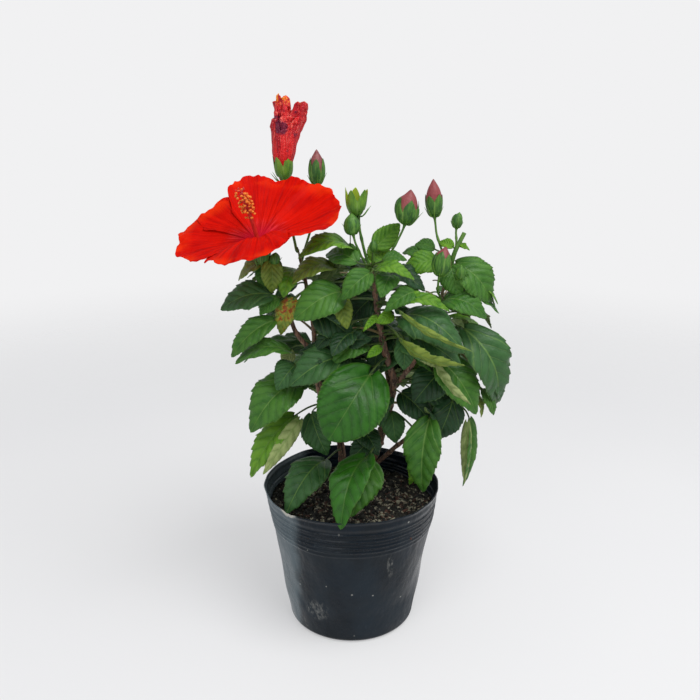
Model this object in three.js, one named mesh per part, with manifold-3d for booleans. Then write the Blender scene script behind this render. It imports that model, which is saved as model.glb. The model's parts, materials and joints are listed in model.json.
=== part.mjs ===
// A young hibiscus shrub in its soft plastic nursery pot.
// Millimetres, +Z up. The origin is the centre of the pot's flat underside; the plant's front faces -Y.

import * as THREE from 'three';
import { mergeVertices } from 'three/addons/utils/BufferGeometryUtils.js';
import Module from 'manifold-3d';

const wasm = await Module();
wasm.setup();

// ---- Driving dimensions ----

const touchGap = 0.3;          // clearance between pieces that rest on or run into each other
const fineTolerance = 0.01;     // how far merging small facets may move a surface, and on the sprays
const sprayTolerance = 0.12;

const potHeight = 125;
const potRimRadius = 75;
const potBaseRadius = 54;
const potWall = 1.2;
const potFootRounding = 4;
const potSides = 30;
const ridgeCount = 3;          // rings pressed into the wall below the rim
const ridgePitch = 7;
const ridgeHeight = 0.7;
const ridgeTop = 117;

const soilLevel = 106;

const limbSides = 7;
const stalkSides = 6;
const sprayRings = 6;
const spraySides = 9;
const sprayRoughness = 0.15;   // how far a spray's surface swells and dips, as a share of its width
const sprayArch = 0.12;        // how far a spray rises above the straight line to its tip, by its length

const front = [0, -0.85, 0.5];  // the way a spray's leaves face: outwards and up
const back = [0, 0.85, 0.5];

const petalWall = 2.4;
const bloomSides = 32;
const bloomThroat = new THREE.Vector3(-74, -2, 337);
const columnAxis = new THREE.Vector3(-0.2, -0.27, 0.94).normalize();
const columnLength = 46;
const columnSink = 4;          // how far its foot stands down in the funnel

const colours = {
  plastic: '#232a31',
  soil: '#3a2c22',
  bark: '#5d4437',
  stalk: '#4f7a35',
  bud: '#5c7f45',
  petal: '#d61f10',
  stamen: '#e2671d',
  wilted: '#b3202c',
  leaf: '#2f6b2a',
  youngLeaf: '#4f8f34',
  shadeLeaf: '#235330',
};

// ---- Small geometry helpers ----

const vec = (p) => new THREE.Vector3(...p);

// Shared vertices merged, so the surface is one closed skin.
function closedSkin(geometry) {
  geometry.deleteAttribute('normal');
  geometry.deleteAttribute('uv');
  return mergeVertices(geometry, 1e-4);
}

function toSolid(geometry) {
  const skin = closedSkin(geometry);
  return new wasm.Manifold(new wasm.Mesh({
    numProp: 3,
    vertProperties: new Float32Array(skin.attributes.position.array),
    triVerts: new Uint32Array(skin.index.array),
  }));
}

function toGeometry(solid) {
  const mesh = solid.getMesh();
  const geometry = new THREE.BufferGeometry();
  geometry.setAttribute('position', new THREE.BufferAttribute(new Float32Array(mesh.vertProperties), 3));
  geometry.setIndex(new THREE.BufferAttribute(new Uint32Array(mesh.triVerts), 1));
  return geometry;
}

function largestPart(solid) {
  return solid.decompose().reduce((a, b) => (a.volume() > b.volume() ? a : b));
}

// The value at share t of a list of evenly spaced values.
function valueAt(list, t) {
  const place = Math.min(t, 1) * (list.length - 1);
  const low = Math.min(Math.floor(place), list.length - 2);
  return THREE.MathUtils.lerp(list[low], list[low + 1], place - low);
}

// Moves each vertex of a shape that stands on Y = 0..1 to its place beside the curve.
// reach(t, angle) gives how far the vertex stands off the curve, across and through its thickness.
function bendAlong(geometry, curve, facing, reach) {
  const position = geometry.attributes.position;
  for (let i = 0; i < position.count; i += 1) {
    const x = position.getX(i);
    const z = position.getZ(i);
    const t = THREE.MathUtils.clamp(position.getY(i), 0, 1);
    const run = t < 1e-6 && curve.flatFoot ? new THREE.Vector3(0, 0, 1) : curve.getTangentAt(t);
    const across = new THREE.Vector3().crossVectors(run, facing).normalize();
    const through = new THREE.Vector3().crossVectors(across, run);
    const [wide, thick] = reach(t, Math.atan2(z, x));
    const point = curve.getPointAt(t).addScaledVector(across, x * wide).addScaledVector(through, z * thick);
    position.setXYZ(i, point.x, point.y, point.z);
  }
  return geometry;
}

// ---- Pieces of the plant ----

// One tapering limb: radii are listed evenly from foot to tip, flare widens the foot.
function limb({ path, radii, flare = 0, sides = limbSides, flatFoot = false }, grow = 0) {
  const curve = new THREE.CatmullRomCurve3(path.map(vec), false, 'centripetal');
  curve.flatFoot = flatFoot;
  const steps = Math.max(4, Math.round(curve.getLength() / 16));
  const shape = new THREE.CylinderGeometry(1, 1, 1, sides, steps).translate(0, 0.5, 0);
  const radiusAt = (t) => valueAt(radii, t) + flare * Math.exp(-t / 0.05) + grow;
  return toSolid(bendAlong(shape, curve, new THREE.Vector3(0, 1, 0.02), (t) => [radiusAt(t), radiusAt(t)]));
}

// One uneven mass of leaves: it leaves its limb at `from`, and its furthest leaf tip is at `to`.
function spray({ from, to, width, depth, facing = front, seed = 1 }, grow = 0) {
  const start = vec(from);
  const end = vec(to);
  const length = start.distanceTo(end);
  const middle = start.clone().lerp(end, 0.5).add(new THREE.Vector3(0, 0, sprayArch * length));
  const curve = new THREE.QuadraticBezierCurve3(start, middle, end);
  const shape = new THREE.SphereGeometry(1, spraySides, sprayRings);
  const position = shape.attributes.position;
  const swell = (t, angle) => 1 + sprayRoughness * (
    Math.sin(2 * angle + 1.7 * seed) * Math.cos(5.3 * t + seed)
    + 0.6 * Math.cos(3 * angle - 2.9 * seed) * Math.sin(8.1 * t + 0.6 * seed));
  const envelope = (t) => 1 - 0.5 * (1 - t) ** 2;
  for (let i = 0; i < position.count; i += 1) {
    position.setY(i, (1 + position.getY(i)) / 2);
  }
  const reach = (t, angle) => [
    width / 2 * envelope(t) * swell(t, angle) + grow,
    depth / 2 * envelope(t) * swell(t, angle) + grow,
  ];
  return toSolid(bendAlong(shape, curve, vec(facing), reach));
}

// A bud, spent calyx or wilted bloom on its stalk, from the limb up to its tip.
function headOnStalk(settings, grow = 0) {
  return limb({ sides: stalkSides, ...settings }, grow);
}

// The rim of the open bloom, petal tips and the notches between them: bearing in degrees, then how far
// out and how far above the throat the edge stands.
const bloomRim = [
  [-160, 60, -15], [-140, 47, -11], [-113, 52, -12], [-94, 52, -8], [-76, 49, -6], [-54, 49, 6],
  [-38, 62, 12], [-18, 65, 15], [10, 68, 27], [39, 60, 36], [54, 54, 43], [71, 49, 41],
  [98, 47, 44], [128, 41, 35], [145, 42, 21], [155, 51, 15], [175, 65, 1],
];

function bloomRimAt(bearing) {
  const next = bloomRim.findIndex(([mark]) => mark > bearing);
  const high = next < 0 ? 0 : next;
  const low = (high + bloomRim.length - 1) % bloomRim.length;
  const turn = (from, to) => THREE.MathUtils.euclideanModulo(to - from, 360);
  const share = turn(bloomRim[low][0], bearing) / turn(bloomRim[low][0], bloomRim[high][0]);
  return [1, 2].map((k) => THREE.MathUtils.lerp(bloomRim[low][k], bloomRim[high][k], share));
}

// The open bloom: one thin, ruffled bowl of five overlapping petals round its throat.
function openBloom(grow = 0) {
  const shares = [0, 0.18, 0.55, 1];
  const under = shares.map((share) => new THREE.Vector2(share, -1));
  const over = shares.map((share) => new THREE.Vector2(share, 1)).reverse();
  const shape = new THREE.LatheGeometry([...under, ...over], bloomSides).rotateX(Math.PI / 2);
  const position = shape.attributes.position;
  for (let i = 0; i < position.count; i += 1) {
    const share = Math.min(1, Math.hypot(position.getX(i), position.getY(i)));
    const side = position.getZ(i);
    const angle = Math.atan2(position.getY(i), position.getX(i));
    const [reach, rise] = bloomRimAt(THREE.MathUtils.radToDeg(angle));
    const out = reach * share + (share > 0.9 ? grow : 0);
    const funnel = 7 * Math.exp(-share / 0.12);
    const height = rise * share ** 1.15 - funnel + side * (petalWall / 2 + grow);
    const lean = side * Math.sin(Math.atan2(rise, reach)) * petalWall / 2;
    position.setXYZ(
      i,
      bloomThroat.x + (out - lean) * Math.cos(angle),
      bloomThroat.y + (out - lean) * Math.sin(angle),
      bloomThroat.z + height,
    );
  }
  return toSolid(shape);
}

// The bloom's column, from inside the funnel of the throat to the head of stamens.
function bloomColumn(grow = 0) {
  const pointAt = (share) => bloomThroat.clone().addScaledVector(columnAxis, columnLength * share - columnSink);
  return limb({
    path: [0, 0.5, 1].map((share) => pointAt(share).toArray()),
    radii: [1.8, 1.6, 1.6, 5.5, 5.5, 2],
    sides: stalkSides,
  }, grow);
}

// The wilted bloom: a rolled, crumpled tube that splits in two at its top.
function wiltedBloom(grow = 0) {
  const roll = limb({
    path: [[-57, 58, 394], [-56, 58, 408], [-53, 57, 424], [-47, 56, 434], [-44, 56, 442]],
    radii: [8, 9.8, 11.2, 12, 12, 10, 4],
    sides: 10,
  }, grow);
  const fold = limb({
    path: [[-59, 58, 412], [-60, 58, 428], [-56, 58, 446]],
    radii: [6, 8.2, 7.8, 2.6],
    sides: 9,
  }, grow);
  return roll.add(fold);
}

// ---- Pot and soil ----

// The wall leans evenly from foot to rim, measured on the outside.
function potRadiusAt(z) {
  return THREE.MathUtils.lerp(potBaseRadius, potRimRadius, z / potHeight);
}

function potProfile() {
  const points = [new THREE.Vector2(0, 0)];
  for (let k = 0; k <= 3; k += 1) {
    const a = (k / 3) * Math.PI / 2;
    points.push(new THREE.Vector2(
      potRadiusAt(potFootRounding) - potFootRounding * (1 - Math.sin(a)),
      potFootRounding * (1 - Math.cos(a)),
    ));
  }
  for (let k = ridgeCount - 1; k >= 0; k -= 1) {
    const z = ridgeTop - k * ridgePitch;
    points.push(new THREE.Vector2(potRadiusAt(z - 1.5), z - 1.5));
    points.push(new THREE.Vector2(potRadiusAt(z) + ridgeHeight, z));
    points.push(new THREE.Vector2(potRadiusAt(z + 1.5), z + 1.5));
  }
  points.push(new THREE.Vector2(potRimRadius, potHeight - 0.6));
  points.push(new THREE.Vector2(potRimRadius - potWall / 2, potHeight));
  points.push(new THREE.Vector2(potRimRadius - potWall, potHeight - 0.6));
  points.push(new THREE.Vector2(potRadiusAt(potWall) - potWall - 2, potWall));
  points.push(new THREE.Vector2(0, potWall));
  return points;
}

function turned(points, sides) {
  return toSolid(new THREE.LatheGeometry(points, sides).rotateX(Math.PI / 2));
}

function soilProfile() {
  const inset = potWall + touchGap + 0.6;
  const foot = potWall + touchGap;
  return [
    new THREE.Vector2(0, foot),
    new THREE.Vector2(potRadiusAt(foot) - inset - 2, foot),
    new THREE.Vector2(potRadiusAt(soilLevel) - inset, soilLevel),
    new THREE.Vector2(0, soilLevel),
  ];
}

// ---- The plant's own shape ----

const soilTop = soilLevel + touchGap;

const limbs = {
  trunk: {
    path: [[14, 30, soilTop], [15, 29, 120], [25, 22, 153], [31, 18, 181], [37, 12, 208], [30, 9, 234],
      [24, 8, 259], [19, 8, 292], [16, 8, 312]],
    radii: [4.2, 3.9, 3.6, 3.2, 2.8, 2.4, 1.9],
    flare: 3.2,
    flatFoot: true,
  },
  left_stem: {
    path: [[-7, 40, soilTop], [-8, 39, 120], [-10, 36, 147], [-16, 24, 172], [-27, 14, 198], [-29, 8, 222],
      [-31, 6, 243]],
    radii: [3.4, 3.2, 3, 2.7, 2.4],
    flare: 2.4,
    flatFoot: true,
  },
  left_bough: {
    path: [[-30, 5, 238], [-36, 4, 244], [-47, 2, 261], [-52, 1, 278], [-55, 1, 296]],
    radii: [2.2, 2, 1.8, 1.5],
  },
  inner_bough: {
    path: [[-31, 6, 243], [-33, 12, 275], [-39, 24, 300], [-46, 38, 323]],
    radii: [2, 1.8, 1.5, 1.2],
  },
  right_bough: {
    path: [[37, 12, 208], [51, 8, 229], [61, 4, 243], [70, 0, 266], [72, -2, 285], [76, 0, 307], [83, 2, 327]],
    radii: [2.6, 2.3, 2, 1.8, 1.5, 1.2, 1],
  },
  low_bough: {
    path: [[15, 29, 121], [34, 20, 143], [50, 8, 164], [66, -4, 184], [90, 0, 196]],
    radii: [2.3, 2.1, 1.8, 1.4, 1.1],
  },
  back_bough: {
    path: [[30, 18, 178], [33, 34, 200], [26, 52, 236], [18, 62, 270]],
    radii: [2.2, 2, 1.7, 1.2],
  },
  back_left_bough: {
    path: [[-14, 28, 165], [-20, 44, 192], [-30, 56, 226], [-34, 60, 252]],
    radii: [2, 1.8, 1.5, 1.1],
  },
  back_right_bough: {
    path: [[38, 14, 206], [58, 34, 230], [74, 48, 258]],
    radii: [1.9, 1.6, 1.2],
  },
};

// Radii run evenly along each path: a thin stalk, then the swelling head, then its tip.
const heads = {
  bloom_stalk: {
    path: [[-55, 1, 292], [-63, 4, 303], [-69, 3, 317], [-73, -2, 332]],
    radii: [1.5, 1.6, 2, 3.6, 6, 7],
    colour: 'stalk',
  },
  wilted_calyx: {
    path: [[-46, 37, 320], [-51, 48, 338], [-56, 57, 358], [-58, 58, 380], [-57, 58, 396.6]],
    radii: [1.2, 1.2, 1.2, 1.3, 1.4, 1.6, 2.6, 7, 8, 7.6],
    colour: 'bud',
  },
  bud_pointed: {
    path: [[-43, 31, 311], [-35, 42, 335], [-30, 49, 356], [-29, 50, 374], [-29, 50, 403]],
    radii: [1.1, 1.1, 1.1, 1.2, 1.3, 1.4, 5.6, 7, 4.4, 0.8],
    colour: 'bud',
  },
  spent_calyx: {
    path: [[15, 7, 310], [10, 5, 327], [7, 2, 340], [6, 0, 352], [3, 0, 375]],
    radii: [1.2, 1.2, 1.2, 1.3, 1.6, 6, 7.6, 8, 8.4],
    colour: 'bud',
  },
  bud_green: {
    path: [[13, 4, 312], [6, -3, 327], [1, -8, 341], [0, -8, 358]],
    radii: [1.1, 1.1, 1.2, 1.4, 5.4, 6.4, 1.4],
    colour: 'bud',
  },
  bud_leaning: {
    path: [[20, 7, 312], [28, 4, 321], [36, 2, 331], [41, 0, 346], [49, 0, 375]],
    radii: [1.3, 1.3, 1.3, 1.4, 1.6, 7, 9.4, 8, 1.6],
    colour: 'bud',
  },
  bud_tall: {
    path: [[76, 1, 310], [73, 4, 325], [68, 5, 339], [66, 5, 353], [64, 5, 383]],
    radii: [1.1, 1.1, 1.1, 1.2, 1.3, 5.8, 6.8, 5, 0.8],
    colour: 'bud',
  },
  bud_shoot: {
    path: [[83, 2, 325], [84, 4, 336], [83, 5, 345], [86, 5, 357]],
    radii: [0.9, 0.9, 1, 1.2, 4.4, 4.6, 1],
    colour: 'bud',
  },
  bud_right: {
    path: [[73, -4, 288], [68, -14, 297], [68, -20, 310], [73, -20, 334]],
    radii: [1.2, 1.2, 1.4, 5.6, 7, 5.8, 0.9],
    colour: 'bud',
  },
};

const leafy = {
  spray_left_top: { from: [-53, 1, 282], to: [-107, -10, 281], width: 32, depth: 18, colour: 'shadeLeaf' },
  spray_under_bloom: { from: [-54, 3, 297], to: [-94, 12, 306], width: 24, depth: 20 },
  spray_left_upper: { from: [-50, 2, 270], to: [-98, -16, 242], width: 33, depth: 17 },
  spray_left_middle: { from: [-36, 4, 242], to: [-92, -22, 240], width: 21, depth: 14 },
  spray_left_lower: { from: [-29, 8, 220], to: [-84, -20, 182], width: 46, depth: 24 },
  spray_left_low: { from: [-27, 13, 197], to: [-87, -25, 142], width: 31, depth: 15 },
  spray_left_back: { from: [-39, 24, 298], to: [-78, 56, 294], width: 48, depth: 34, facing: back },
  spray_inner_low: { from: [-20, 20, 183], to: [-22, -6, 149], width: 32, depth: 20, colour: 'shadeLeaf' },
  spray_over_soil_left: { from: [-9, 37, 138], to: [-55, -42, 124], width: 37, depth: 9, colour: 'shadeLeaf' },
  spray_over_soil_front: { from: [19, 26, 137], to: [-6, -80, 129], width: 42, depth: 10, colour: 'youngLeaf' },
  spray_front: { from: [30, 16, 219], to: [-20, -64, 190], width: 58, depth: 22, colour: 'youngLeaf' },
  spray_low_centre: { from: [24, 22, 156], to: [0, -14, 156], width: 34, depth: 20, colour: 'shadeLeaf' },
  spray_centre_left: { from: [-30, 6, 240], to: [-45, -42, 225], width: 44, depth: 26, colour: 'shadeLeaf' },
  spray_centre: { from: [24, 8, 256], to: [-30, -22, 266], width: 48, depth: 36, colour: 'shadeLeaf' },
  spray_upper_left: { from: [19, 8, 292], to: [-44, -32, 282], width: 40, depth: 26 },
  spray_top_left: { from: [16, 8, 309], to: [-41, -20, 326], width: 34, depth: 30, colour: 'youngLeaf' },
  spray_top: { from: [17, 9, 311], to: [37, 12, 348], width: 30, depth: 32, colour: 'youngLeaf' },
  spray_top_front: { from: [18, 8, 302], to: [42, -34, 308], width: 38, depth: 22, colour: 'youngLeaf' },
  spray_heart: { from: [23, 8, 268], to: [-10, 50, 288], width: 56, depth: 44, facing: back, colour: 'shadeLeaf' },
  spray_right_top: { from: [75, 0, 303], to: [46, 10, 328], width: 32, depth: 26, colour: 'youngLeaf' },
  spray_right_crown: { from: [74, 0, 298], to: [116, -6, 289], width: 42, depth: 22, colour: 'youngLeaf' },
  spray_shoot: { from: [82, 2, 322], to: [94, -2, 339], width: 18, depth: 14, colour: 'youngLeaf' },
  spray_right_shoulder: { from: [72, -2, 281], to: [108, -26, 277], width: 27, depth: 18 },
  spray_right_upper: { from: [20, 8, 282], to: [76, -36, 289], width: 34, depth: 28, colour: 'youngLeaf' },
  spray_right_front: { from: [26, 9, 252], to: [90, -50, 250], width: 52, depth: 30, colour: 'shadeLeaf' },
  spray_right_outer: { from: [73, -1, 280], to: [128, -6, 198], width: 42, depth: 23, colour: 'shadeLeaf' },
  spray_right_middle: { from: [62, 4, 244], to: [104, -26, 197], width: 42, depth: 22 },
  spray_right_inner: { from: [34, 15, 196], to: [88, -16, 180], width: 44, depth: 32, colour: 'shadeLeaf' },
  spray_right_hanging: { from: [90, 0, 195], to: [102, -8, 120], width: 19, depth: 10 },
  spray_right_back: { from: [73, -1, 288], to: [104, 46, 288], width: 46, depth: 38, facing: back },
  spray_low_right: { from: [66, -4, 184], to: [58, -34, 129], width: 34, depth: 20 },
  spray_back_top: { from: [18, 60, 266], to: [-6, 96, 302], width: 66, depth: 48, facing: back },
  spray_back_left: { from: [-34, 59, 248], to: [-68, 92, 250], width: 62, depth: 42, facing: back },
  spray_back_right: { from: [73, 47, 256], to: [84, 88, 276], width: 62, depth: 46, facing: back },
  spray_back_middle: { from: [26, 52, 234], to: [26, 108, 228], width: 66, depth: 40, facing: back },
  spray_back_low_left: { from: [-19, 43, 190], to: [-40, 96, 178], width: 58, depth: 34, facing: back },
  spray_back_low_right: { from: [32, 34, 199], to: [72, 84, 188], width: 58, depth: 36, facing: back },
};

// ---- Assembly ----

const plant = new THREE.Group();
const placed = [];

function boxesMeet(a, b) {
  return [0, 1, 2].every((k) => a.min[k] < b.max[k] && b.min[k] < a.max[k]);
}

// Cuts a new piece clear of all that stands already, then adds it to the group.
function place(name, build, colour, roughness = 0.7, tolerance = fineTolerance) {
  let solid = build(0);
  const box = solid.boundingBox();
  placed.filter((other) => boxesMeet(box, other.box)).forEach((other) => {
    solid = solid.subtract(other.solid);
  });
  const grown = build(touchGap);
  placed.push({ solid: grown, box: grown.boundingBox() });
  const material = new THREE.MeshStandardMaterial({ color: colours[colour], roughness, metalness: 0 });
  const mesh = new THREE.Mesh(toGeometry(largestPart(largestPart(solid).simplify(tolerance))), material);
  mesh.name = name;
  plant.add(mesh);
}

place('pot', () => turned(potProfile(), potSides), 'plastic', 0.45);
place('soil', () => turned(soilProfile(), potSides), 'soil', 0.95);

for (const [name, settings] of Object.entries(limbs)) {
  place(name, (grow) => limb(settings, grow), 'bark', 0.85);
}
for (const [name, settings] of Object.entries(heads)) {
  place(name, (grow) => headOnStalk(settings, grow), settings.colour, 0.6);
}

place('wilted_bloom', wiltedBloom, 'wilted', 0.6);
place('bloom_column', bloomColumn, 'stamen');
place('bloom', openBloom, 'petal');

Object.entries(leafy).forEach(([name, settings], index) => {
  const build = (grow) => spray({ ...settings, seed: index + 1 }, grow);
  place(name, build, settings.colour ?? 'leaf', 0.5, sprayTolerance);
});

export default plant;
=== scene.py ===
import bpy
import json
import math
import numpy as np
from mathutils import Matrix, Vector

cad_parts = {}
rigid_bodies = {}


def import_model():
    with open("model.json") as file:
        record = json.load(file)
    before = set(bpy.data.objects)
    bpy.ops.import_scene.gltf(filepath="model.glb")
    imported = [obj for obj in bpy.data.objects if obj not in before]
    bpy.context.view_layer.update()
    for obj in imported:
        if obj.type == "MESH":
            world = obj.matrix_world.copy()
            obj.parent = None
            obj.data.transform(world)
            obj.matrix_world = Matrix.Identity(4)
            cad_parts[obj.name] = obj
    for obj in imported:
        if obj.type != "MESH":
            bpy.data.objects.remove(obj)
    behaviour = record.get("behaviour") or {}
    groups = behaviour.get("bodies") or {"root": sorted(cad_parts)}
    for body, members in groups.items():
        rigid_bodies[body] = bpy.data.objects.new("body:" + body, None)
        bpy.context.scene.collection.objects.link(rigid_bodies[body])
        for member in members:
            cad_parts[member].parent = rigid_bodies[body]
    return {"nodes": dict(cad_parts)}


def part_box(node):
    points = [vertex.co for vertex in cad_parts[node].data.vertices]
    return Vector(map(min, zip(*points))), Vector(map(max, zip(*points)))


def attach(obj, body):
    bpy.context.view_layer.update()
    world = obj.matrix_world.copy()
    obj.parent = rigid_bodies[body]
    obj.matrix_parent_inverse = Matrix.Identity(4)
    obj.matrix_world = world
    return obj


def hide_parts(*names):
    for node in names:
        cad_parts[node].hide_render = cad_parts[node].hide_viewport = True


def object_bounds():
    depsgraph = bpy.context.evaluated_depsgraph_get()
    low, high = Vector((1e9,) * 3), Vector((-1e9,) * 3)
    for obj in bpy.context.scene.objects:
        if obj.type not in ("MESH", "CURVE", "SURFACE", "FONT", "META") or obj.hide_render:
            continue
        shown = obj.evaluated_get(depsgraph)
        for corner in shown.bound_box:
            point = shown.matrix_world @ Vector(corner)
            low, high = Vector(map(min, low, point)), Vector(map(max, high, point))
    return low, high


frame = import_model()
cadBox = [list(corner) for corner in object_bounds()]
mm = 0.001


# small helpers for points and directions

def unit(v):
    v = np.asarray(v, float)
    return v / np.maximum(np.linalg.norm(v, axis=-1, keepdims=True), 1e-12)


def ease(low, high, x):
    t = np.clip((x - low) / (high - low), 0, 1)
    return t * t * (3 - 2 * t)


def heading(bearing, pitch):
    # bearing runs anticlockwise from +X seen from above, pitch is up from level
    b, p = math.radians(bearing), math.radians(pitch)
    return np.array([math.cos(b) * math.cos(p), math.sin(b) * math.cos(p), math.sin(p)])


def facing(turn, tilt):
    # tilt 90 faces the sky and 0 the front, turn swings it to the right
    t, e = math.radians(turn), math.radians(tilt)
    return np.array([math.sin(t) * math.cos(e), -math.cos(t) * math.cos(e), math.sin(e)])


def gather(x, y, z):
    # places from separate numbers or grids
    return np.stack(np.broadcast_arrays(x, y, z), -1)


def polar(radius, angle, height):
    return gather(radius * np.cos(angle), radius * np.sin(angle), height)


def grain(points, size, seed=0):
    # smooth random bumps between -1 and 1, one about every `size`, in the shape of the places given
    points = np.asarray(points, float)
    p = points.reshape(-1, 3) / size + seed * 17.31
    cell = np.floor(p).astype(np.int64)
    f = p - cell
    f = f * f * (3 - 2 * f)
    total = np.zeros(len(p))
    for corner in range(8):
        step = np.array([corner & 1, corner >> 1 & 1, corner >> 2 & 1])
        key = (cell + step) * np.array([73856093, 19349663, 83492791])
        mixed = key[:, 0] ^ key[:, 1] ^ key[:, 2]
        mixed = ((mixed ^ (mixed >> 13)) * 1274126177) & 0x7FFFFFFF
        mixed = ((mixed ^ (mixed >> 15)) * 668265263) & 0x7FFFFFFF
        weight = np.prod(np.where(step, f, 1 - f), axis=1)
        total += weight * (mixed / 0x3FFFFFFF - 1)
    return total.reshape(points.shape[:-1])


def boxOf(node):
    low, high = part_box(node)
    return np.array(low), np.array(high)


def middleOf(node):
    low, high = boxOf(node)
    return (low + high) / 2


def nodePoints(node):
    mesh = frame["nodes"][node].data
    points = np.zeros(len(mesh.vertices) * 3)
    mesh.vertices.foreach_get("co", points)
    return points.reshape(-1, 3)


def nodeTriangles(node):
    mesh = frame["nodes"][node].data
    mesh.calc_loop_triangles()
    index = np.zeros(len(mesh.loop_triangles) * 3, np.int32)
    mesh.loop_triangles.foreach_get("vertices", index)
    return nodePoints(node)[index.reshape(-1, 3)]


def centreLine(node, levels=24):
    # the middle and radius of a rising CAD limb, cut level by level
    triangles = nodeTriangles(node)
    low, high = triangles[..., 2].min(), triangles[..., 2].max()
    line, radii = [], []
    for z in np.linspace(low + 0.3 * mm, high - 0.3 * mm, levels):
        spots = []
        for a, b in ((0, 1), (1, 2), (2, 0)):
            p, q = triangles[:, a], triangles[:, b]
            crossing = (p[:, 2] - z) * (q[:, 2] - z) < 0
            p, q = p[crossing], q[crossing]
            share = ((z - p[:, 2]) / (q[:, 2] - p[:, 2]))[:, None]
            spots.append(p + (q - p) * share)
        spots = np.vstack(spots)
        if len(spots) < 6:
            continue
        middle = (spots.min(0) + spots.max(0)) / 2
        spread = np.linalg.eigvalsh(np.cov((spots - middle)[:, :2].T))
        line.append(middle)
        radii.append(math.sqrt(2 * max(spread[0], 1e-9)))
    return np.array(line), np.array(radii)


def smoothPath(points, step, radii=None):
    # evenly spaced points on a Catmull-Rom curve through the given ones
    points = np.asarray(points, float)
    ends = np.vstack([2 * points[0] - points[1], points, 2 * points[-1] - points[-2]])
    fine = []
    for k in range(len(points) - 1):
        a, b, c, d = ends[k:k + 4]
        t = np.linspace(0, 1, 12, endpoint=False)[:, None]
        fine.append(0.5 * (2 * b + (c - a) * t + (2 * a - 5 * b + 4 * c - d) * t ** 2
                           + (3 * b - a - 3 * c + d) * t ** 3))
    fine = np.vstack(fine + [points[-1:]])
    run = np.concatenate([[0], np.cumsum(np.linalg.norm(np.diff(fine, axis=0), axis=1))])
    count = max(3, int(run[-1] / step) + 1)
    spots = np.linspace(0, run[-1], count)
    path = np.stack([np.interp(spots, run, fine[:, k]) for k in range(3)], 1)
    if radii is None:
        return path
    marks = np.concatenate([[0], np.cumsum(np.linalg.norm(np.diff(points, axis=0), axis=1))])
    return path, np.interp(spots / run[-1] * marks[-1], marks, radii)


def carriedFrames(path):
    # a side and an over direction for each point, carried along without twisting
    run = unit(np.gradient(path, axis=0))
    side = unit(np.cross(run[0], [0.31, 0.9, 0.23]))
    sides = []
    for direction in run:
        side = unit(side - direction * np.dot(side, direction))
        sides.append(side)
    sides = np.array(sides)
    return run, sides, np.cross(run, sides)


def newObject(name, data):
    piece = bpy.data.objects.new(name, data)
    bpy.context.scene.collection.objects.link(piece)
    return piece


# meshes gathered part by part and then made one piece

class Pile:
    def __init__(self):
        self.points, self.marks, self.count = [], {}, 0
        self.faces, self.slots = {4: [], 3: []}, {4: [], 3: []}

    def add(self, points, faces, slot=0, **marks):
        points = np.asarray(points, float).reshape(-1, 3)
        self.addFaces(faces, self.count, slot)
        self.points.append(points)
        self.note(marks, len(points))
        self.count += len(points)

    def addFaces(self, faces, start, slot=0):
        # more faces on points that are already there
        corners = faces.shape[1]
        self.faces[corners].append(faces + start)
        self.slots[corners].append(np.full(len(faces), slot))

    def note(self, marks, length):
        for name, value in marks.items():
            value = np.asarray(value, float)
            wide = 3 if value.ndim == 2 or value.shape == (3,) else 1
            whole = np.zeros((length, wide))
            whole[:] = value.reshape(-1, wide)
            self.marks.setdefault(name, []).append((self.count, whole))

    def build(self, name, materials, smooth=True):
        points = np.vstack(self.points)
        quads, triangles = (np.vstack([np.zeros((0, k), np.int64)] + self.faces[k]) for k in (4, 3))
        mesh = bpy.data.meshes.new(name)
        mesh.vertices.add(len(points))
        mesh.vertices.foreach_set("co", points.astype(np.float32).ravel())
        corners = np.concatenate([quads.ravel(), triangles.ravel()])
        mesh.loops.add(len(corners))
        mesh.loops.foreach_set("vertex_index", corners.astype(np.int32))
        mesh.polygons.add(len(quads) + len(triangles))
        starts = np.concatenate([np.arange(len(quads)) * 4, len(quads) * 4 + np.arange(len(triangles)) * 3])
        mesh.polygons.foreach_set("loop_start", starts.astype(np.int32))
        slots = np.concatenate(self.slots[4] + self.slots[3])
        mesh.polygons.foreach_set("material_index", slots.astype(np.int32))
        mesh.polygons.foreach_set("use_smooth", np.full(len(starts), smooth))
        for mark, parts in self.marks.items():
            wide = parts[0][1].shape[1]
            kind = "FLOAT_VECTOR" if wide == 3 else "FLOAT"
            layer = mesh.attributes.new(mark, kind, "POINT")
            values = np.zeros((len(points), wide), np.float32)
            for start, part in parts:
                values[start:start + len(part)] = part
            layer.data.foreach_set("vector" if wide == 3 else "value", values.ravel())
        mesh.update(calc_edges=True)
        mesh.validate()
        for material in materials:
            mesh.materials.append(material)
        return newObject(name, mesh)


def gridQuads(rows, columns, around=False):
    # faces of a grid of points, row after row; `around` joins the last column to the first
    wide = columns if around else columns - 1
    i, j = np.meshgrid(np.arange(rows - 1), np.arange(wide), indexing="ij")
    after = (j + 1) % columns
    return np.stack([i * columns + j, i * columns + after, (i + 1) * columns + after,
                     (i + 1) * columns + j], -1).reshape(-1, 4)


def fanFaces(sides, first, hub, upward=False):
    # triangles that close a ring of points, whose first one is given, round its hub
    ring = first + np.arange(sides)
    pair = (ring, np.roll(ring, -1)) if upward else (np.roll(ring, -1), ring)
    return np.stack([*pair, np.full(sides, hub)], 1)


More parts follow.
